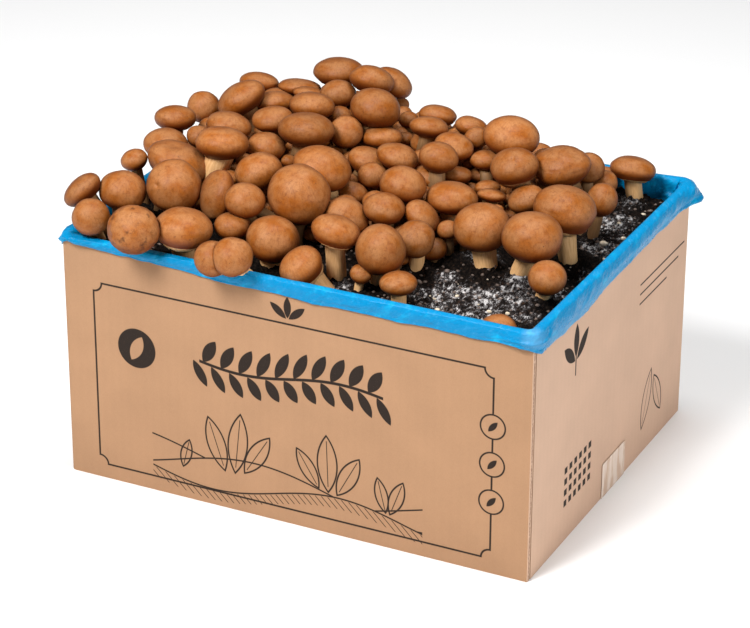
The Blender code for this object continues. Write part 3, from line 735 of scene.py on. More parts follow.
def make_pale_crumbs():
    """Spawn grains and stubs of young stems that lie on the bare peat, in mm from the
    middle of the box (right, back) with their length."""
    placed = np.array([(110, -130, 3.4), (118, -137, 2.6), (127, -118, 2.4), (98, -112, 3.0),
                       (36, -98, 3.2), (44, -128, 4.0), (56, -134, 4.4), (64, -138, 3.6),
                       (131, -96, 3.0), (163, 40, 5.5), (170, 62, 3.2), (158, 84, 3.0),
                       (168, 108, 3.4), (172, 20, 2.6), (149, -104, 2.8), (160, -118, 2.4),
                       (88, -96, 2.4), (76, -134, 2.8), (102, -88, 2.6), (92, -126, 2.2)])
    spread = scatter(26, (40, -145), (178, 60), 5)
    spread = spread[(spread[:, 0] > 62 + 0.75 * (spread[:, 1] + 100))]
    placed = np.concatenate([placed, np.column_stack([spread, 1.2 + 0 * spread[:, 0]])])
    x, y, size = placed.T * MM
    z = peat_height(x, y) + peat_relief(x, y) + 0.25 * size
    sizes = size[:, None] * np.array([0.62, 0.5, 0.42])
    points, faces = crumbs(np.column_stack([x, y, z]), sizes, 25)
    mesh_piece("spawn_grains", points, faces, material("spawn_grain", grain_look))


make_pale_crumbs()


# Mushrooms. Each grew as one piece: a smooth, fibrous brown cap whose margin rolls in under
# it, and a pale stem that finds its way down to the peat between its neighbours.

STEM_SHARE, FOOT_SHARE, GILL_DEPTH, LEAN_AT_FOOT = 0.42, 0.38, 0.6, 0.7
STEM_MARGIN = 15 * MM
SPREAD_ROUNDS = 120

# Each row is one mushroom, in mm and degrees: the middle of its cap from the middle of the
# box (right, back) and above the rim, the cap's width, its height as a share of that width,
# how far it tips off upright, the side it tips to (0 front, 90 right), and where the stem
# can be followed to the peat, its foot (right, back). The last 13 rows of SMALL were given
# one by one. In the others only the height above the rim was: scripts worked out the rest
# from outlines and feet measured in the photo, and hand changes were made to two rows
# alone, the shape and tip of row 16 of SMALL and the foot of row 51 of LARGE.
LARGE = [
    (-189, -121, 24, 32, 0.60, 40, -75),
    (-164, -105, 22, 36, 0.80, 10, 90),
    (-180, -14, 24, 34, 0.65, 0, 0),
    (-187, 14, 34, 33, 0.60, 10, -165),
    (-149, 52, 44, 40, 0.60, 30, -75),
    (-149, -49, 27, 48, 0.60, 20, 120),
    (-128, -91, 27, 41, 0.90, 25, 30),
    (-137, 9, 38, 36, 0.60, 15, 165),
    (-119, -33, 42, 41, 0.60, 10, 180, -122, -22),
    (-95, -85, 24, 38, 0.60, 70, -45),
    (-77, -53, 34, 36, 0.80, 10, -60),
    (-122, -161, 20, 39, 0.90, 15, 30, -128, -130),
    (-96, -134, 16, 42, 0.65, 5, 120, -101, -126),
    (-40, -162, 16, 30, 0.90, 30, 30, -34, -131),
    (-35, -110, 10, 39, 0.85, 10, 75, -40, -108),
    (0, -133, 5, 33, 0.80, 35, -60, 11, -120),
    (15, -107, 25, 36, 0.60, 15, 120, 13, -101),
    (-1, -61, 16, 34, 0.80, 15, 105),
    (-33, -73, 32, 47, 0.90, 25, 30),
    (-36, -30, 36, 45, 0.70, 15, 105, -50, -16),
    (-73, 15, 44, 43, 0.60, 10, 180),
    (-39, 66, 50, 39, 0.75, 10, 120),
    (-103, 129, 48, 41, 0.55, 10, -150),
    (-64, 110, 54, 37, 0.55, 20, 165),
    (-56, 131, 46, 34, 0.60, 30, 120),
    (-161, 104, 38, 32, 0.50, 15, 180),
    (-127, 107, 38, 35, 0.40, 15, 180),
    (-131, 73, 36, 33, 0.55, 15, -150),
    (-90, 58, 46, 36, 0.60, 10, 180),
    (-109, 28, 42, 32, 0.60, 5, -90),
    (-100, 1, 30, 30, 0.70, 5, 120),
    (-24, 24, 24, 33, 0.60, 20, 120),
    (2, 20, 34, 32, 0.60, 15, 120),
    (-30, 59, 30, 32, 0.55, 10, -165),
    (-3, 102, 38, 30, 0.55, 15, 180),
    (6, 67, 42, 30, 0.55, 15, 180),
    (31, 58, 34, 31, 0.65, 10, 120),
    (34, 24, 38, 30, 0.75, 10, 120),
    (28, -23, 32, 35, 0.75, 10, 120),
    (26, -52, 24, 31, 0.70, 5, 120),
    (49, -36, 16, 29, 0.65, 35, 105),
    (57, -63, 10, 29, 0.90, 30, 30, 53, -58),
    (49, -104, 16, 39, 0.85, 10, 30, 42, -88),
    (61, -8, 22, 38, 0.60, 5, 150, 60, -6),
    (70, 78, 42, 43, 0.70, 5, 120),
    (90, 38, 36, 37, 0.70, 10, -60),
    (117, 65, 31, 42, 0.70, 10, -60),
    (105, 28, 16, 28, 0.70, 20, -60),
    (100, -41, 19, 42, 0.80, 10, 0, 105, -41),
    (141, -45, 21, 44, 0.80, 5, 75, 126, -41),
    (147, 1, 26, 46, 0.75, 10, 135, 152, 4),
    (165, -72, 5, 28, 0.85, 10, 30, 157, -69),
    (149, 132, 10, 35, 0.55, 15, 180, 152, 133),
]
SMALL = [
    (-168, -144, 15, 29, 0.90, 30, 30, -172, -122),
    (-88, 99, 42, 28, 0.75, 0, 0),
    (-184, 53, 30, 27, 0.90, 15, 0),
    (-65, -97, 30, 30, 0.85, 10, 30),
    (-70, -108, 13, 27, 0.70, 0, 0),
    (71, -120, 1, 27, 0.60, 0, 0, 71, -119),
    (-53, 43, 36, 26, 0.90, 30, 30),
    (0, 78, 25, 27, 0.65, 10, -60),
    (26, 101, 34, 26, 0.60, 15, 150),
    (128, 92, 22, 25, 0.90, 30, 30),
    (-17, -16, 14, 23, 0.75, 15, 120),
    (26, 26, 20, 25, 0.65, 15, 120),
    (-112, 94, 40, 24, 0.45, 15, 180),
    (56, 62, 26, 24, 0.60, 5, -150),
    (-11, 4, 22, 23, 0.85, 10, 30),
    (154, 56, 14, 23, 1.15, 15, 105),
    (-55, -164, 12, 27, 0.90, 30, 30, -56, -134),
    (43, 39, 20, 23, 0.55, 10, -165),
    (80, 21, 17, 22, 0.45, 15, 180),
    (-182, -58, 26, 21, 0.75, 15, -60),
    (-139, 97, 34, 25, 0.40, 15, -165),
    (138, 101, 8, 21, 0.90, 15, 30),
    (52, 65, 12, 20, 0.60, 5, -150),
    (66, 44, 12, 20, 0.55, 10, -150),
    (-162, 6, 26, 19, 0.85, 10, 30),
    (39, 82, 34, 18, 0.90, 25, 30),
    (87, 105, 18, 18, 0.75, 0, 0),
    (-28, 102, 30, 16, 0.80, 0, 0),
    (13, 103, 26, 16, 0.60, 10, -150),
    (39, -116, 0, 16, 0.85, 10, 75, 36, -116),
    (-21, 82, 22, 13, 0.85, 5, 30),
    (-178, 96, 16, 32, 0.70, 10, -90),
    (-176, 130, 12, 32, 0.70, 15, -120),
    (-143, 139, 13, 30, 0.70, 15, 180),
    (-82, 140, 20, 28, 0.70, 15, 180),
    (-26, 136, 14, 32, 0.70, 15, 180),
    (8, 138, 12, 31, 0.70, 10, 180),
    (40, 132, 14, 30, 0.70, 15, 150),
    (68, 136, 6, 26, 0.70, 15, 180),
    (96, 134, 0, 24, 0.70, 10, 180),
    (-66, -12, 10, 26, 0.70, 10, 0),
    (-128, -60, 6, 24, 0.70, 10, 0),
    (-140, 38, 10, 26, 0.70, 10, 90),
    (80, 104, 2, 20, 0.70, 10, 0),
]


class Flush:
    """The whole flush as arrays, one entry for each mushroom: where its cap is, how it tips,
    and the stem's top, middle and foot. A stem meets its cap square and curves down."""

    def __init__(self, rows):
        right, back, above, across, plump, tip, side = np.array([r[:7] for r in rows]).T
        self.count = len(rows)
        self.centre = np.stack([right * MM, back * MM, BOX_HEIGHT + above * MM], axis=1)
        self.radius = across * MM / 2
        self.half_height = self.radius * plump
        self.stem = STEM_SHARE * self.radius
        tip, side = np.radians(tip), np.radians(side)
        self.axis = np.stack([np.sin(tip) * np.sin(side), -np.sin(tip) * np.cos(side),
                              np.cos(tip)], axis=1)
        self.top = self.centre - self.axis * (self.half_height * GILL_DEPTH)[:, None]
        rise = self.top[:, 2] - peat_height(*self.top[:, :2].T)
        self.foot = self.top[:, :2] - (LEAN_AT_FOOT * rise / self.axis[:, 2])[:, None] \
            * self.axis[:, :2]
        self.foot_is_seen = np.array([len(r) > 7 for r in rows])
        for k in np.nonzero(self.foot_is_seen)[0]:
            self.foot[k] = np.array(rows[k][7:]) * MM
        self.middle = (self.top[:, :2] + self.foot) / 2

    def depth_in_cap(self, k, points):
        """How far points are from the centre of cap k, as a share of the way to its skin."""
        offset = points - self.centre[k]
        along = offset @ self.axis[k]
        across = np.sqrt(np.clip((offset ** 2).sum(axis=-1) - along ** 2, 0, None))
        return np.hypot(across / self.radius[k], along / self.half_height[k])

    def near(self, k, spot, reach):
        """The other mushrooms whose caps may come within reach of a spot."""
        far = np.linalg.norm(self.centre - spot, axis=1) - self.radius
        return [j for j in np.nonzero(far < reach)[0] if j != k]


def spread_stems(flush):
    """Stems find room between each other and under the caps: points along each stem are
    pushed sideways off the stems and caps they run into, and the stem stays smooth."""
    feet, middles, tops = flush.foot.copy(), flush.middle.copy(), flush.top
    looseness = np.where(flush.foot_is_seen, 0.1, 1.0)[:, None]
    shares = np.array([0.0, 0.25, 0.5, 0.75])[:, None]
    others = 1.0 - np.eye(flush.count)
    room = np.array([BOX_WIDTH, BOX_DEPTH]) / 2 - STEM_MARGIN
    for _ in range(SPREAD_ROUNDS):
        ground = peat_height(feet[:, 0], feet[:, 1])
        level = ground + shares * (tops[:, 2] - ground)
        lower = np.clip(1 - 2 * shares, 0, 1)[..., None]
        upper = np.clip(2 * shares - 1, 0, 1)[..., None]
        line = lower * feet + (1 - lower - upper) * middles + upper * tops[:, :2]
        spots = np.concatenate([line, level[..., None]], axis=2)[:, :, None, :]
        off_cap = spots - flush.centre
        along = (off_cap * flush.axis).sum(axis=3)
        across = np.sqrt(np.clip((off_cap ** 2).sum(axis=3) - along ** 2, 0, None))
        reach = np.hypot(across / (flush.radius + flush.stem[:, None]),
                         along / (flush.half_height + flush.stem[:, None]))
        cap_push = 0.5 * flush.radius * np.clip(1 - reach, 0, 1) * others
        off_stem = spots - spots.transpose(0, 2, 1, 3)
        apart = np.linalg.norm(off_stem[..., :2], axis=3)
        stem_push = 0.4 * np.clip(flush.stem[:, None] + flush.stem - apart, 0, None) * others
        push = np.zeros_like(line)
        for amount, offset in ((cap_push, off_cap[..., :2]), (stem_push, off_stem[..., :2])):
            length = np.linalg.norm(offset, axis=3) + 1e-6
            push += ((amount / length)[..., None] * offset).sum(axis=2)
        middles += push[2] + (push[1] + push[3]) / 2
        middles += 0.12 * ((feet + tops[:, :2]) / 2 - middles)
        feet += looseness * (push[0] + push[1] / 2) + 0.05 * (flush.foot - feet)
        feet = np.clip(feet, -room, room)
    flush.foot, flush.middle = feet, middles


# Where the cap's spheroid ends, and the rings of its margin in to the stem as shares of its
# radius and half height: first for a closed young cap, then for one that has opened.
CAP_END = np.radians([143, 122])
MARGIN = np.array([[(0.57, -0.83), (0.53, -0.855), (0.49, -0.85), (0.45, -0.81), (0.42, -0.75)],
                   [(0.82, -0.65), (0.77, -0.70), (0.69, -0.715), (0.58, -0.70), (0.50, -0.67)]])


def looped_rows(rows, around, first):
    """Faces of a surface made of rings that close on themselves, first to last."""
    k, r = np.arange(around), np.arange(rows)[:, None]
    after, below = (k + 1) % around, (r + 1) % rows
    return np.stack([first + r * around + k, first + below * around + k,
                     first + below * around + after, first + r * around + after],
                    axis=2).reshape(-1, 4)


def veil_surface(flush, k, around, tilt, amount):
    """The torn veil: a thin skirt that hangs from the cap's margin in towards the stem, in
    lobes whose reach is set by noise, out along four rings and back along four."""
    turn = np.arange(around) / around * 2 * math.pi
    level = np.stack([np.cos(turn), np.sin(turn), 0 * turn], axis=1)
    reach = np.clip(0.45 + 0.9 * noise(level, 0.55, 200 + k), 0.05, 1)
    reach = amount * reach + 0.12 * noise(level, 0.10, 230 + k)
    share = np.array([0, 0.35, 0.7, 1.0, 1.0, 0.7, 0.35, 0])[:, None]
    inner = np.array([0, 0, 0, 0, 1, 1, 1, 1])[:, None]
    across = 0.80 - 0.26 * reach * share - 0.03 * inner
    down = -0.66 - 0.42 * reach * share + 0.05 * inner
    down = down - 0.05 * noise(level * 2, 0.3, 260 + k) * share
    local = level * across[..., None]
    local[..., 2] = down * flush.half_height[k] / flush.radius[k]
    return flush.centre[k] + flush.radius[k] * (local @ tilt.T).reshape(-1, 3)


def mushroom_surface(flush, k, around, cap_rows, stem_rows, look):
    """Points of mushroom k from crown to sole. The cap is a spheroid to just under its
    margin, swollen by slow noise and by its own dents and lobes; the margin rolls in to the
    stem, which follows a curve from the cap's underside to its foot."""
    centre, axis, radius = flush.centre[k], flush.axis[k], flush.radius[k]
    half_height = flush.half_height[k]
    tilt = np.array(Vector((0, 0, 1)).rotation_difference(Vector(axis)).to_matrix())
    turn = np.arange(around) / around * 2 * math.pi
    open_share = np.array([1 - look["open"], look["open"]])
    polar = np.linspace(0, open_share @ CAP_END, cap_rows + 1)[1:]
    margin = np.tensordot(open_share, MARGIN, 1)
    # a broad shoulder fills the cap out above its widest ring only
    fill = np.where(polar < math.pi / 2, look["shoulder"], 1.0)
    ring_r = np.concatenate([np.sin(polar) ** fill, margin[:, 0]])
    ring_h = np.concatenate([np.cos(polar), margin[:, 1]])
    local = np.stack([ring_r[:, None] * np.cos(turn), ring_r[:, None] * np.sin(turn),
                      ring_h[:, None] + 0 * turn], axis=-1)
    local = np.concatenate([[[0, 0, 1.0]], local.reshape(-1, 3)])
    # slow swells, then dents and lobes given as (right, front, up, width, amount)
    swell = 1 + look["lumpy"] * noise(local, 0.95, 3 + k) + 0.35 * look["lumpy"] * noise(
        local, 0.4, 60 + k)
    for right, front, up, width, amount in look["dents"]:
        spot = np.array([right, -front, up], float) @ tilt
        spot /= np.linalg.norm(spot)
        unit = local / (np.linalg.norm(local, axis=1, keepdims=True) + 1e-9)
        swell += amount * np.exp(-((unit - spot) ** 2).sum(axis=1) / width ** 2)
    if look["wrinkled"]:
        swell -= look["wrinkled"] * 0.03 * creases(local * [1, 1, 1.6], 0.42, 90 + k)
    scale = np.array([radius, radius, half_height])
    points = centre + (local * swell[:, None] * scale) @ tilt.T
    # crowded caps meet halfway: each is flattened where it would pass into its neighbour
    offset = points - centre
    own = flush.depth_in_cap(k, points)
    share = np.ones(len(points))
    for j in flush.near(k, centre, radius * 1.1):
        low, high = np.zeros(len(points)), np.ones(len(points))
        for _ in range(9):
            middle = (low + high) / 2
            inside = middle * own < flush.depth_in_cap(j, centre + offset * middle[:, None])
            low, high = np.where(inside, middle, low), np.where(inside, high, middle)
        share = np.minimum(share, np.where(high < 0.999, low - 0.015, 1))
    points = centre + offset * share[:, None]

    foot = np.array([*flush.foot[k], peat_height(*flush.foot[k]) - 2.5 * MM])
    top = flush.top[k] + axis * half_height * 0.02
    bend = np.array([*(2 * flush.middle[k] - (top[:2] + foot[:2]) / 2), 0])
    bend[2] = (top[2] + foot[2]) / 2
    t = np.linspace(0, 1, stem_rows)[:, None, None]
    line = (1 - t) ** 2 * top + 2 * t * (1 - t) * bend + t ** 2 * foot
    level = np.stack([np.cos(turn), np.sin(turn), 0 * turn], axis=-1)
    ring = (1 - t) ** 2 * (level @ tilt.T) + (1 - (1 - t) ** 2) * level
    width = look["stem"] * radius * STEM_SHARE * (1 + (look["taper"] - 1) * t)
    width = width * (1 + 0.10 * np.clip((t - 0.82) / 0.18, 0, 1) * look["knob"])
    grown = noise(level * 1.6 + t * 1.4, 1.0, 120 + k)[..., None]
    stem = line + ring * width * (1 + 0.07 * grown)
    pinch = np.linspace(1, 0.75, 2)[1:, None, None]
    sole = foot + (stem[-1:] - foot) * pinch * 0.8
    stem = np.concatenate([stem, sole]).reshape(-1, 3)
    for j in flush.near(k, flush.top[k], 60 * MM):
        depth = flush.depth_in_cap(j, stem)
        out = flush.centre[j] + (stem - flush.centre[j]) / np.clip(depth, 0.3, 1)[:, None]
        move = np.clip(np.linalg.norm(out - stem, axis=1, keepdims=True), 1e-9, None)
        stem = stem + (out - stem) * np.minimum(1, 0.6 * radius * STEM_SHARE / move)
    points = np.concatenate([points, stem, [foot - [0, 0, 1 * MM]]])

    cap_count = 1 + (len(ring_r)) * around
    on_cap = np.zeros(len(points))
    on_cap[:1 + (cap_rows + 2) * around] = 1
    down = np.zeros(len(points))
    down[cap_count:-1] = np.repeat(np.append(np.linspace(0, 1, stem_rows), 1), around)
    down[-1] = 1
    cap_point = np.concatenate([local, np.zeros((len(points) - len(local), 3))])
    cap_point[len(local):-1, 0] = np.tile(np.cos(turn), stem_rows + 1)
    cap_point[len(local):-1, 1] = np.tile(np.sin(turn), stem_rows + 1)
    rows = cap_rows + len(margin) + stem_rows + 1
    faces = closed_rows(rows, around)
    if look["veil"]:
        torn = veil_surface(flush, k, around, tilt, look["veil"])
        faces[0] = np.concatenate([faces[0], looped_rows(8, around, len(points))])
        cap_point = np.concatenate([cap_point, 0.8 * torn / radius])
        points = np.concatenate([points, torn])
        on_cap = np.concatenate([on_cap, np.full(len(torn), 0.45)])
        down = np.concatenate([down, np.full(len(torn), 0.3)])
    # crowded is 1 for a mushroom whose foot is not seen: its stem gets painted shade
    values = {"on_cap": on_cap, "down_stem": down, "cap_point": cap_point + 0.0,
              "tone": np.full(len(points), look["tone"]),
              "blotched": np.full(len(points), look["blotched"]),
              "crowded": np.full(len(points), 1.0 - flush.foot_is_seen[k]),
              "grown": np.full(len(points), k * 1.37)}
    return points, faces, values


def chestnut_skin(net):
    """Cap: tan, darkened to deep brown towards the margin and along its outline by painted
    shade, with pale clouds of bloom that are kept to the upper part as painted light, fibres
    that run out from the crown, and dark specks. Stem: buff with long streaks, browner at the
    foot, and darkened by painted shade inside the crowd."""
    local = net.attribute("cap_point", "Vector")
    grown = net.attribute("grown")
    tone = net.attribute("tone")
    seeded = net.vector("ADD", local, net.join(grown, grown, 0.0))
    x, y, up = net.split(local)
    flat = net.math("SQRT", net.math("ADD", net.math("MULTIPLY", x, x),
                                     net.math("MULTIPLY", y, y)))
    out = net.math("DIVIDE", 1.0, net.math("MAXIMUM", flat, 0.08))
    spoke = net.join(net.math("MULTIPLY", x, out), net.math("MULTIPLY", y, out),
                     net.math("MULTIPLY", up, 0.35))
    fibres = net.noise(net.vector("ADD", spoke, net.join(grown, grown, grown)), 11.0, 3.0, 0.6)
    clouds = net.noise(seeded, 1.5, 3.0, 0.55)
    mottle = net.noise(seeded, 6.5, 4.0, 0.65)
    fine = net.noise(seeded, 34.0, 2.0, 0.6)

    # painted shade: the cap darkens to deep brown towards its margin, where less light falls
    low = net.ramp(up, 0.15, -0.62)
    colour = net.mix(low, (0.31, 0.087, 0.0085), (0.13, 0.023, 0.002))
    # a dusty bloom, rubbed off in patches, and painted light from above: it is kept to the upper
    # part of the cap
    bloom_and_top_light = net.math("MULTIPLY", net.ramp(clouds, 0.28, 0.66), net.ramp(up, -0.35, 0.35))
    colour = net.mix(net.math("MULTIPLY", bloom_and_top_light, 0.72), colour, (0.415, 0.185, 0.068))
    colour = net.mix(net.math("MULTIPLY", net.ramp(mottle, 0.46, 0.72), 0.45), colour,
                     (0.15, 0.034, 0.0035))
    colour = net.mix(net.math("MULTIPLY", net.ramp(fibres, 0.44, 0.70), 0.25), colour,
                     (0.13, 0.030, 0.004))
    colour = net.mix(net.math("MULTIPLY", net.ramp(fine, 0.46, 0.70), 0.32), colour,
                     (0.11, 0.026, 0.004))
    dark = net.math("MULTIPLY", net.ramp(net.noise(seeded, 2.6, 3.0, 0.6), 0.56, 0.72),
                    net.attribute("blotched"))
    colour = net.mix(dark, colour, (0.055, 0.014, 0.004))
    shade = net.math("ADD", 1.0, net.math("MULTIPLY", tone, 0.30))
    colour = net.mix(1.0, colour, net.join(shade, shade, shade), "MULTIPLY")
    # specks: a few cells of a fine pattern hold a small dark dot
    cell = net.cells(seeded, 4.2, "Color")
    chosen = net.math("GREATER_THAN", net.split(cell)[0], 0.62)
    size = net.math("MULTIPLY", net.split(cell)[1], 0.085)
    dots = net.ramp(net.math("SUBTRACT", net.cells(seeded, 4.2), size), 0.05, 0.0)
    colour = net.mix(net.math("MULTIPLY", net.math("MULTIPLY", dots, chosen), 0.75), colour,
                     (0.060, 0.018, 0.008))

    # painted shade: the skin is darker and greyer where it is seen edge on, along the cap's
    # outline
    edge = net.ramp(net.add("ShaderNodeLayerWeight", {"Blend": 0.5}, "Facing"), 0.42, 0.95)
    colour = net.mix(net.math("MULTIPLY", edge, 0.68), colour, (0.125, 0.040, 0.015))

    down = net.attribute("down_stem")
    streak_at = net.join(net.math("ADD", net.math("MULTIPLY", x, 4.0), grown),
                         net.math("MULTIPLY", y, 4.0), net.math("MULTIPLY", down, 1.6))
    streaks = net.noise(streak_at, 2.4, 4.0, 0.6)
    buff = net.mix(net.ramp(streaks, 0.30, 0.75), (0.86, 0.52, 0.245), (0.66, 0.35, 0.135))
    buff = net.mix(net.math("MULTIPLY", net.ramp(down, 0.70, 1.0), 0.35), buff,
                   (0.36, 0.19, 0.08))
    # painted shade: stems inside the crowd, under the caps, are darkened to deep brown
    crowd_shade = net.math("MULTIPLY", net.attribute("crowded"), net.ramp(down, -0.55, 0.35))
    buff = net.mix(net.math("MULTIPLY", crowd_shade, 0.85), buff, (0.085, 0.034, 0.012))
    white = net.math("MULTIPLY", net.ramp(down, 0.84, 0.97), net.ramp(
        net.noise(net.place(), 0.5, 3.0, 0.7), 0.48, 0.60))
    buff = net.mix(net.math("MULTIPLY", white, 0.8), buff, (0.70, 0.68, 0.64))
    on_cap = net.attribute("on_cap")
    colour = net.mix(net.ramp(on_cap, 0.25, 0.75), buff, colour)

    height = net.math("ADD", net.math("MULTIPLY", mottle, 0.8), net.math("ADD", net.math(
        "MULTIPLY", fibres, 0.35), net.math("MULTIPLY", fine, 0.35)))
    height = net.math("SUBTRACT", height, net.math("MULTIPLY", net.math(
        "MULTIPLY", dots, chosen), 0.6))
    height = net.add("ShaderNodeMix", {0: on_cap, 2: net.math("MULTIPLY", streaks, 0.35),
                                       3: height}, 0)
    rough = net.ramp(clouds, 0.3, 0.7, 0.42, 0.55)
    return {"Base Color": colour, "Roughness": rough, "Specular IOR Level": 0.22,
            "Normal": net.bump(height, 0.55 * MM, 0.55)}


# What sets single large mushrooms apart, by their place in the list from 1: dents are
# (right, front, up, width, amount), negative for a pit or cleft and positive for a lobe.
LOOKS = {
    1: {"tone": -0.5},
    2: {"tone": 0.1},
    6: {"tone": -0.1, "shoulder": 0.85, "dents": [(0.1, 0.1, 1, 0.30, -0.10)]},
    7: {"dents": [(-0.15, 0.8, 0.35, 0.07, -0.10)], "shoulder": 0.9, "tone": 0.1},
    9: {"tone": 0.5, "shoulder": 0.85, "stem": 1.25},
    10: {"tone": -0.35},
    11: {"tone": 0.3},
    12: {"wrinkled": 1.0, "blotched": 0.75, "tone": 0.1},
    13: {"tone": 0.3, "shoulder": 0.85, "veil": 1.0},
    15: {"shoulder": 0.88, "tone": 0.05},
    16: {"veil": 0.8, "tone": 0.2, "stem": 1.5, "taper": 1.1, "foot": (9, -5)},
    17: {"shoulder": 0.8, "veil": 0.8, "tone": 0.2, "knob": 1.5},
    19: {"tone": 0.15},
    20: {"tone": 0.25},
    21: {"tone": -0.5, "shoulder": 0.85},
    23: {"tone": -0.4, "dents": [(-0.6, 0.5, -0.4, 0.25, -0.08)]},
    25: {"dents": [(0.3, 0.6, 0.4, 0.22, -0.07)], "tone": -0.1},
    42: {"tone": -0.45},
    24: {"tall": 1.15},
    43: {"tone": -0.1, "shoulder": 0.9, "tall": 1.16},
    44: {"tone": 0.15, "shoulder": 0.82, "taper": 0.62, "stem": 1.02},
    45: {"tone": 0.55, "lumpy": 0.015},
    46: {"veil": 0.8, "tone": -0.2, "dents": [(0.1, 0.55, 0.75, 0.07, -0.10)]},
    47: {"tone": -0.35, "dents": [(0.95, 0.1, 0.25, 0.5, 0.16), (0.55, 0.2, 0.75, 0.2, -0.07),
                                  (-0.7, 0.2, 0.1, 0.6, 0.08)], "wrinkled": 0.5},
    49: {"stem": 1.05, "taper": 0.88, "knob": 2.0, "shoulder": 0.9, "tone": 0.1},
    50: {"tone": -0.05, "shoulder": 0.9, "stem": 0.8},
    51: {"taper": 0.66, "veil": 0.7, "tone": -0.15, "shoulder": 0.9, "wrinkled": 0.3},
    52: {"tone": 0.15, "lumpy": 0.015},
    53: {"tone": -0.2, "veil": 0.6, "taper": 0.85, "shoulder": 0.85},
}


def look_of(number, large):
    """The look of one mushroom: its own features over ones that vary from row to row."""
    random = noise(np.array([[number * 3.7, 1.3 + large, 0.7], [number * 2.9, 5.1, 2.7],
                             [number * 4.3, 9.2, 4.1], [number * 5.1, 3.3, 8.8]]), 1.0, 7)
    look = {"tone": 0.45 * random[0], "shoulder": 0.96 + 0.06 * random[1], "lumpy": 0.048,
            "blotched": max(0.0, 0.25 * random[2]), "wrinkled": 0.0, "dents": [],
            "stem": 0.98, "taper": 0.95 + 0.12 * random[3], "knob": 0.6, "veil": 0.0,
            "open": max(0.0, 0.3 * random[1]), "tall": 1.0, "foot": (0, 0)}
    if large:
        look.update(LOOKS.get(number, {}))
    if look["veil"]:
        look["open"] = 1.0
    return look


def fill_in(rows):
    """Young mushrooms under and between the others: places in the crowded part are tried in
    turn, low ones last, and one is kept where a cap at least 11 mm wide has room."""
    taken = np.array([(r[0], r[1], r[2], r[3] / 2) for r in rows], float)
    young = []
    for below in (10, 16, 23, 31):
        for x, y in scatter(800, (-178, -120), (130, 142), 11 + below):
            flat = (taken[:len(rows), 0] - x) ** 2 + (taken[:len(rows), 1] - y) ** 2
            weight = np.exp(-flat / 30.0 ** 2)
            above = (weight * taken[:len(rows), 2]).sum() / weight.sum() - below
            bare = x > 38 + 0.55 * (y + 95) or y < -70 - 0.25 * x or above < -9
            away = np.sqrt(((taken[:, :3] - (x, y, above)) ** 2).sum(axis=1))
            room = (away - 0.93 * taken[:, 3]).min()
            if bare or room < 5.6:
                continue
            radius = min(room, 11.5)
            taken = np.concatenate([taken, [[x, y, above, radius]]])
            young.append((x, y, above, 2 * radius, 0.78, 12, (x * 7 + y * 3) % 360))
    return young


# A cap that breaks through the peat inside the front wall, and a tiny one high in a gap
LOW = [(151, -126, -15, 27, 0.60, 10, 20), (40, 64, 19, 8, 0.90, 10, 0)]

young = LOW + fill_in(LARGE + SMALL + LOW)
flush = Flush(LARGE + SMALL + young)
spread_stems(flush)
for number in LOOKS:
    look = look_of(number, True)
    flush.radius[number - 1] *= look["tall"] ** -0.35
    flush.half_height[number - 1] *= look["tall"] ** 0.65
    flush.foot[number - 1] += np.array(look["foot"]) * MM
skin = material("chestnut_skin", chestnut_skin)
fine = ((72, 40, 16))
for number in range(1, len(LARGE) + 1):
    made = mushroom_surface(flush, number - 1, *fine, look_of(number, True))
    cap = mesh_piece("chestnut_mushroom_%02d" % number, made[0], made[1], skin,
                     made[2])
    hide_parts("mushroom_%02d" % number)

fine = ((48, 26, 10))
for number in range(1, len(SMALL) + 1):
    made = mushroom_surface(flush, len(LARGE) + number - 1, *fine, look_of(number, False))
    mesh_piece("small_mushroom_%02d" % number, made[0], made[1], skin,
               made[2])


YOUNG_PATCHES = 3


def make_young(patch):
    """The young mushrooms of the gaps, grown from the block together. They are dealt out
    over a few meshes, so that each mesh stays under 200,000 triangles."""
    points, faces, values, count = [], [[], [], []], {}, 0
    for number in range(patch, len(young), YOUNG_PATCHES):
        made = mushroom_surface(flush, len(LARGE) + len(SMALL) + number, 24, 12, 5,
                                look_of(number + 100, False))
        points.append(made[0])
        for kind, part in zip(faces, made[1]):
            kind.append(part + count)
        for key, value in made[2].items():
            values.setdefault(key, []).append(value)
        count += len(made[0])
    mesh_piece("young_mushrooms_%d" % (patch + 1), np.concatenate(points),
               [np.concatenate(f) for f in faces], skin,
               {k: np.concatenate(v) for k, v in values.items()})


for patch in range(YOUNG_PATCHES):
    make_young(patch)


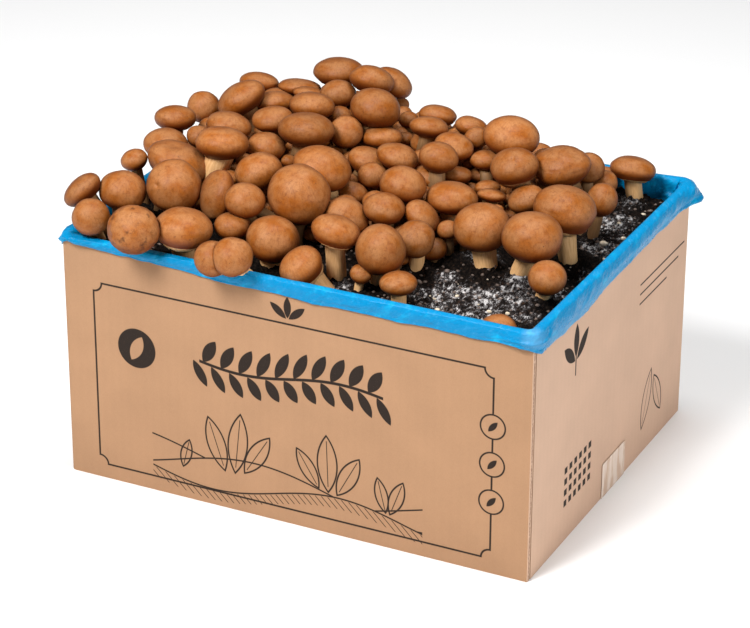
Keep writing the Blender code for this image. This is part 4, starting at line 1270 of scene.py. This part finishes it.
# Studio. A pale floor that runs back to the horizon, soft light from above and in front,
# and the camera where the photo was taken from.

def floor_look(net):
    return {"Base Color": (0.88, 0.88, 0.88), "Roughness": 0.9, "Specular IOR Level": 0.1}


def make_floor():
    reach = 12.0
    points = np.array([(-reach, -reach, 0), (reach, -reach, 0), (reach, reach, 0),
                       (-reach, reach, 0)], float)
    mesh = bpy.data.meshes.new("floor")
    mesh.from_pydata(points.tolist(), [], [(0, 1, 2, 3)])
    mesh.materials.append(material("studio_floor", floor_look))
    ground = bpy.data.objects.new("floor", mesh)
    bpy.context.scene.collection.objects.link(ground)


make_floor()


def area_light(name, place, target, size, power, colour=(1, 1, 1)):
    data = bpy.data.lights.new(name, "AREA")
    data.shape = "DISK"
    data.size = size
    data.energy = power
    data.color = colour
    light = bpy.data.objects.new(name, data)
    light.location = place
    light.rotation_mode = "QUATERNION"
    light.rotation_quaternion = (Vector(target) - Vector(place)).to_track_quat("-Z", "Y")
    bpy.context.scene.collection.objects.link(light)


area_light("key", (-0.5, -1.5, 2.0), (0, 0, 0.15), 0.9, 69)
area_light("fill", (1.9, -0.7, 1.1), (0, 0, 0.12), 0.9, 19)
area_light("top", (0.1, 0.3, 2.2), (0, 0, 0.2), 0.8, 28)
world = bpy.data.worlds.new("studio")
world.use_nodes = True
world.node_tree.nodes["Background"].inputs["Color"].default_value = (1, 1, 1, 1)
world.node_tree.nodes["Background"].inputs["Strength"].default_value = 0.15
bpy.context.scene.world = world
bpy.context.scene.view_settings.view_transform = "Standard"

lens = bpy.data.cameras.new("camera")
lens.sensor_width = 36.0
lens.lens = 138.94
lens.clip_start, lens.clip_end = 0.05, 100
camera = bpy.data.objects.new("camera", lens)
right, down, forward = ((0.89660, 0.44282, 0.00348), (0.19218, -0.38203, -0.90395),
                        (-0.39896, 0.81115, -0.42763))
turned = Matrix((right, [-d for d in down], [-f for f in forward])).transposed()
camera.matrix_world = Matrix.Translation((0.87929, -1.80095, 1.05520)) @ turned.to_4x4()
bpy.context.scene.collection.objects.link(camera)
bpy.context.scene.camera = camera
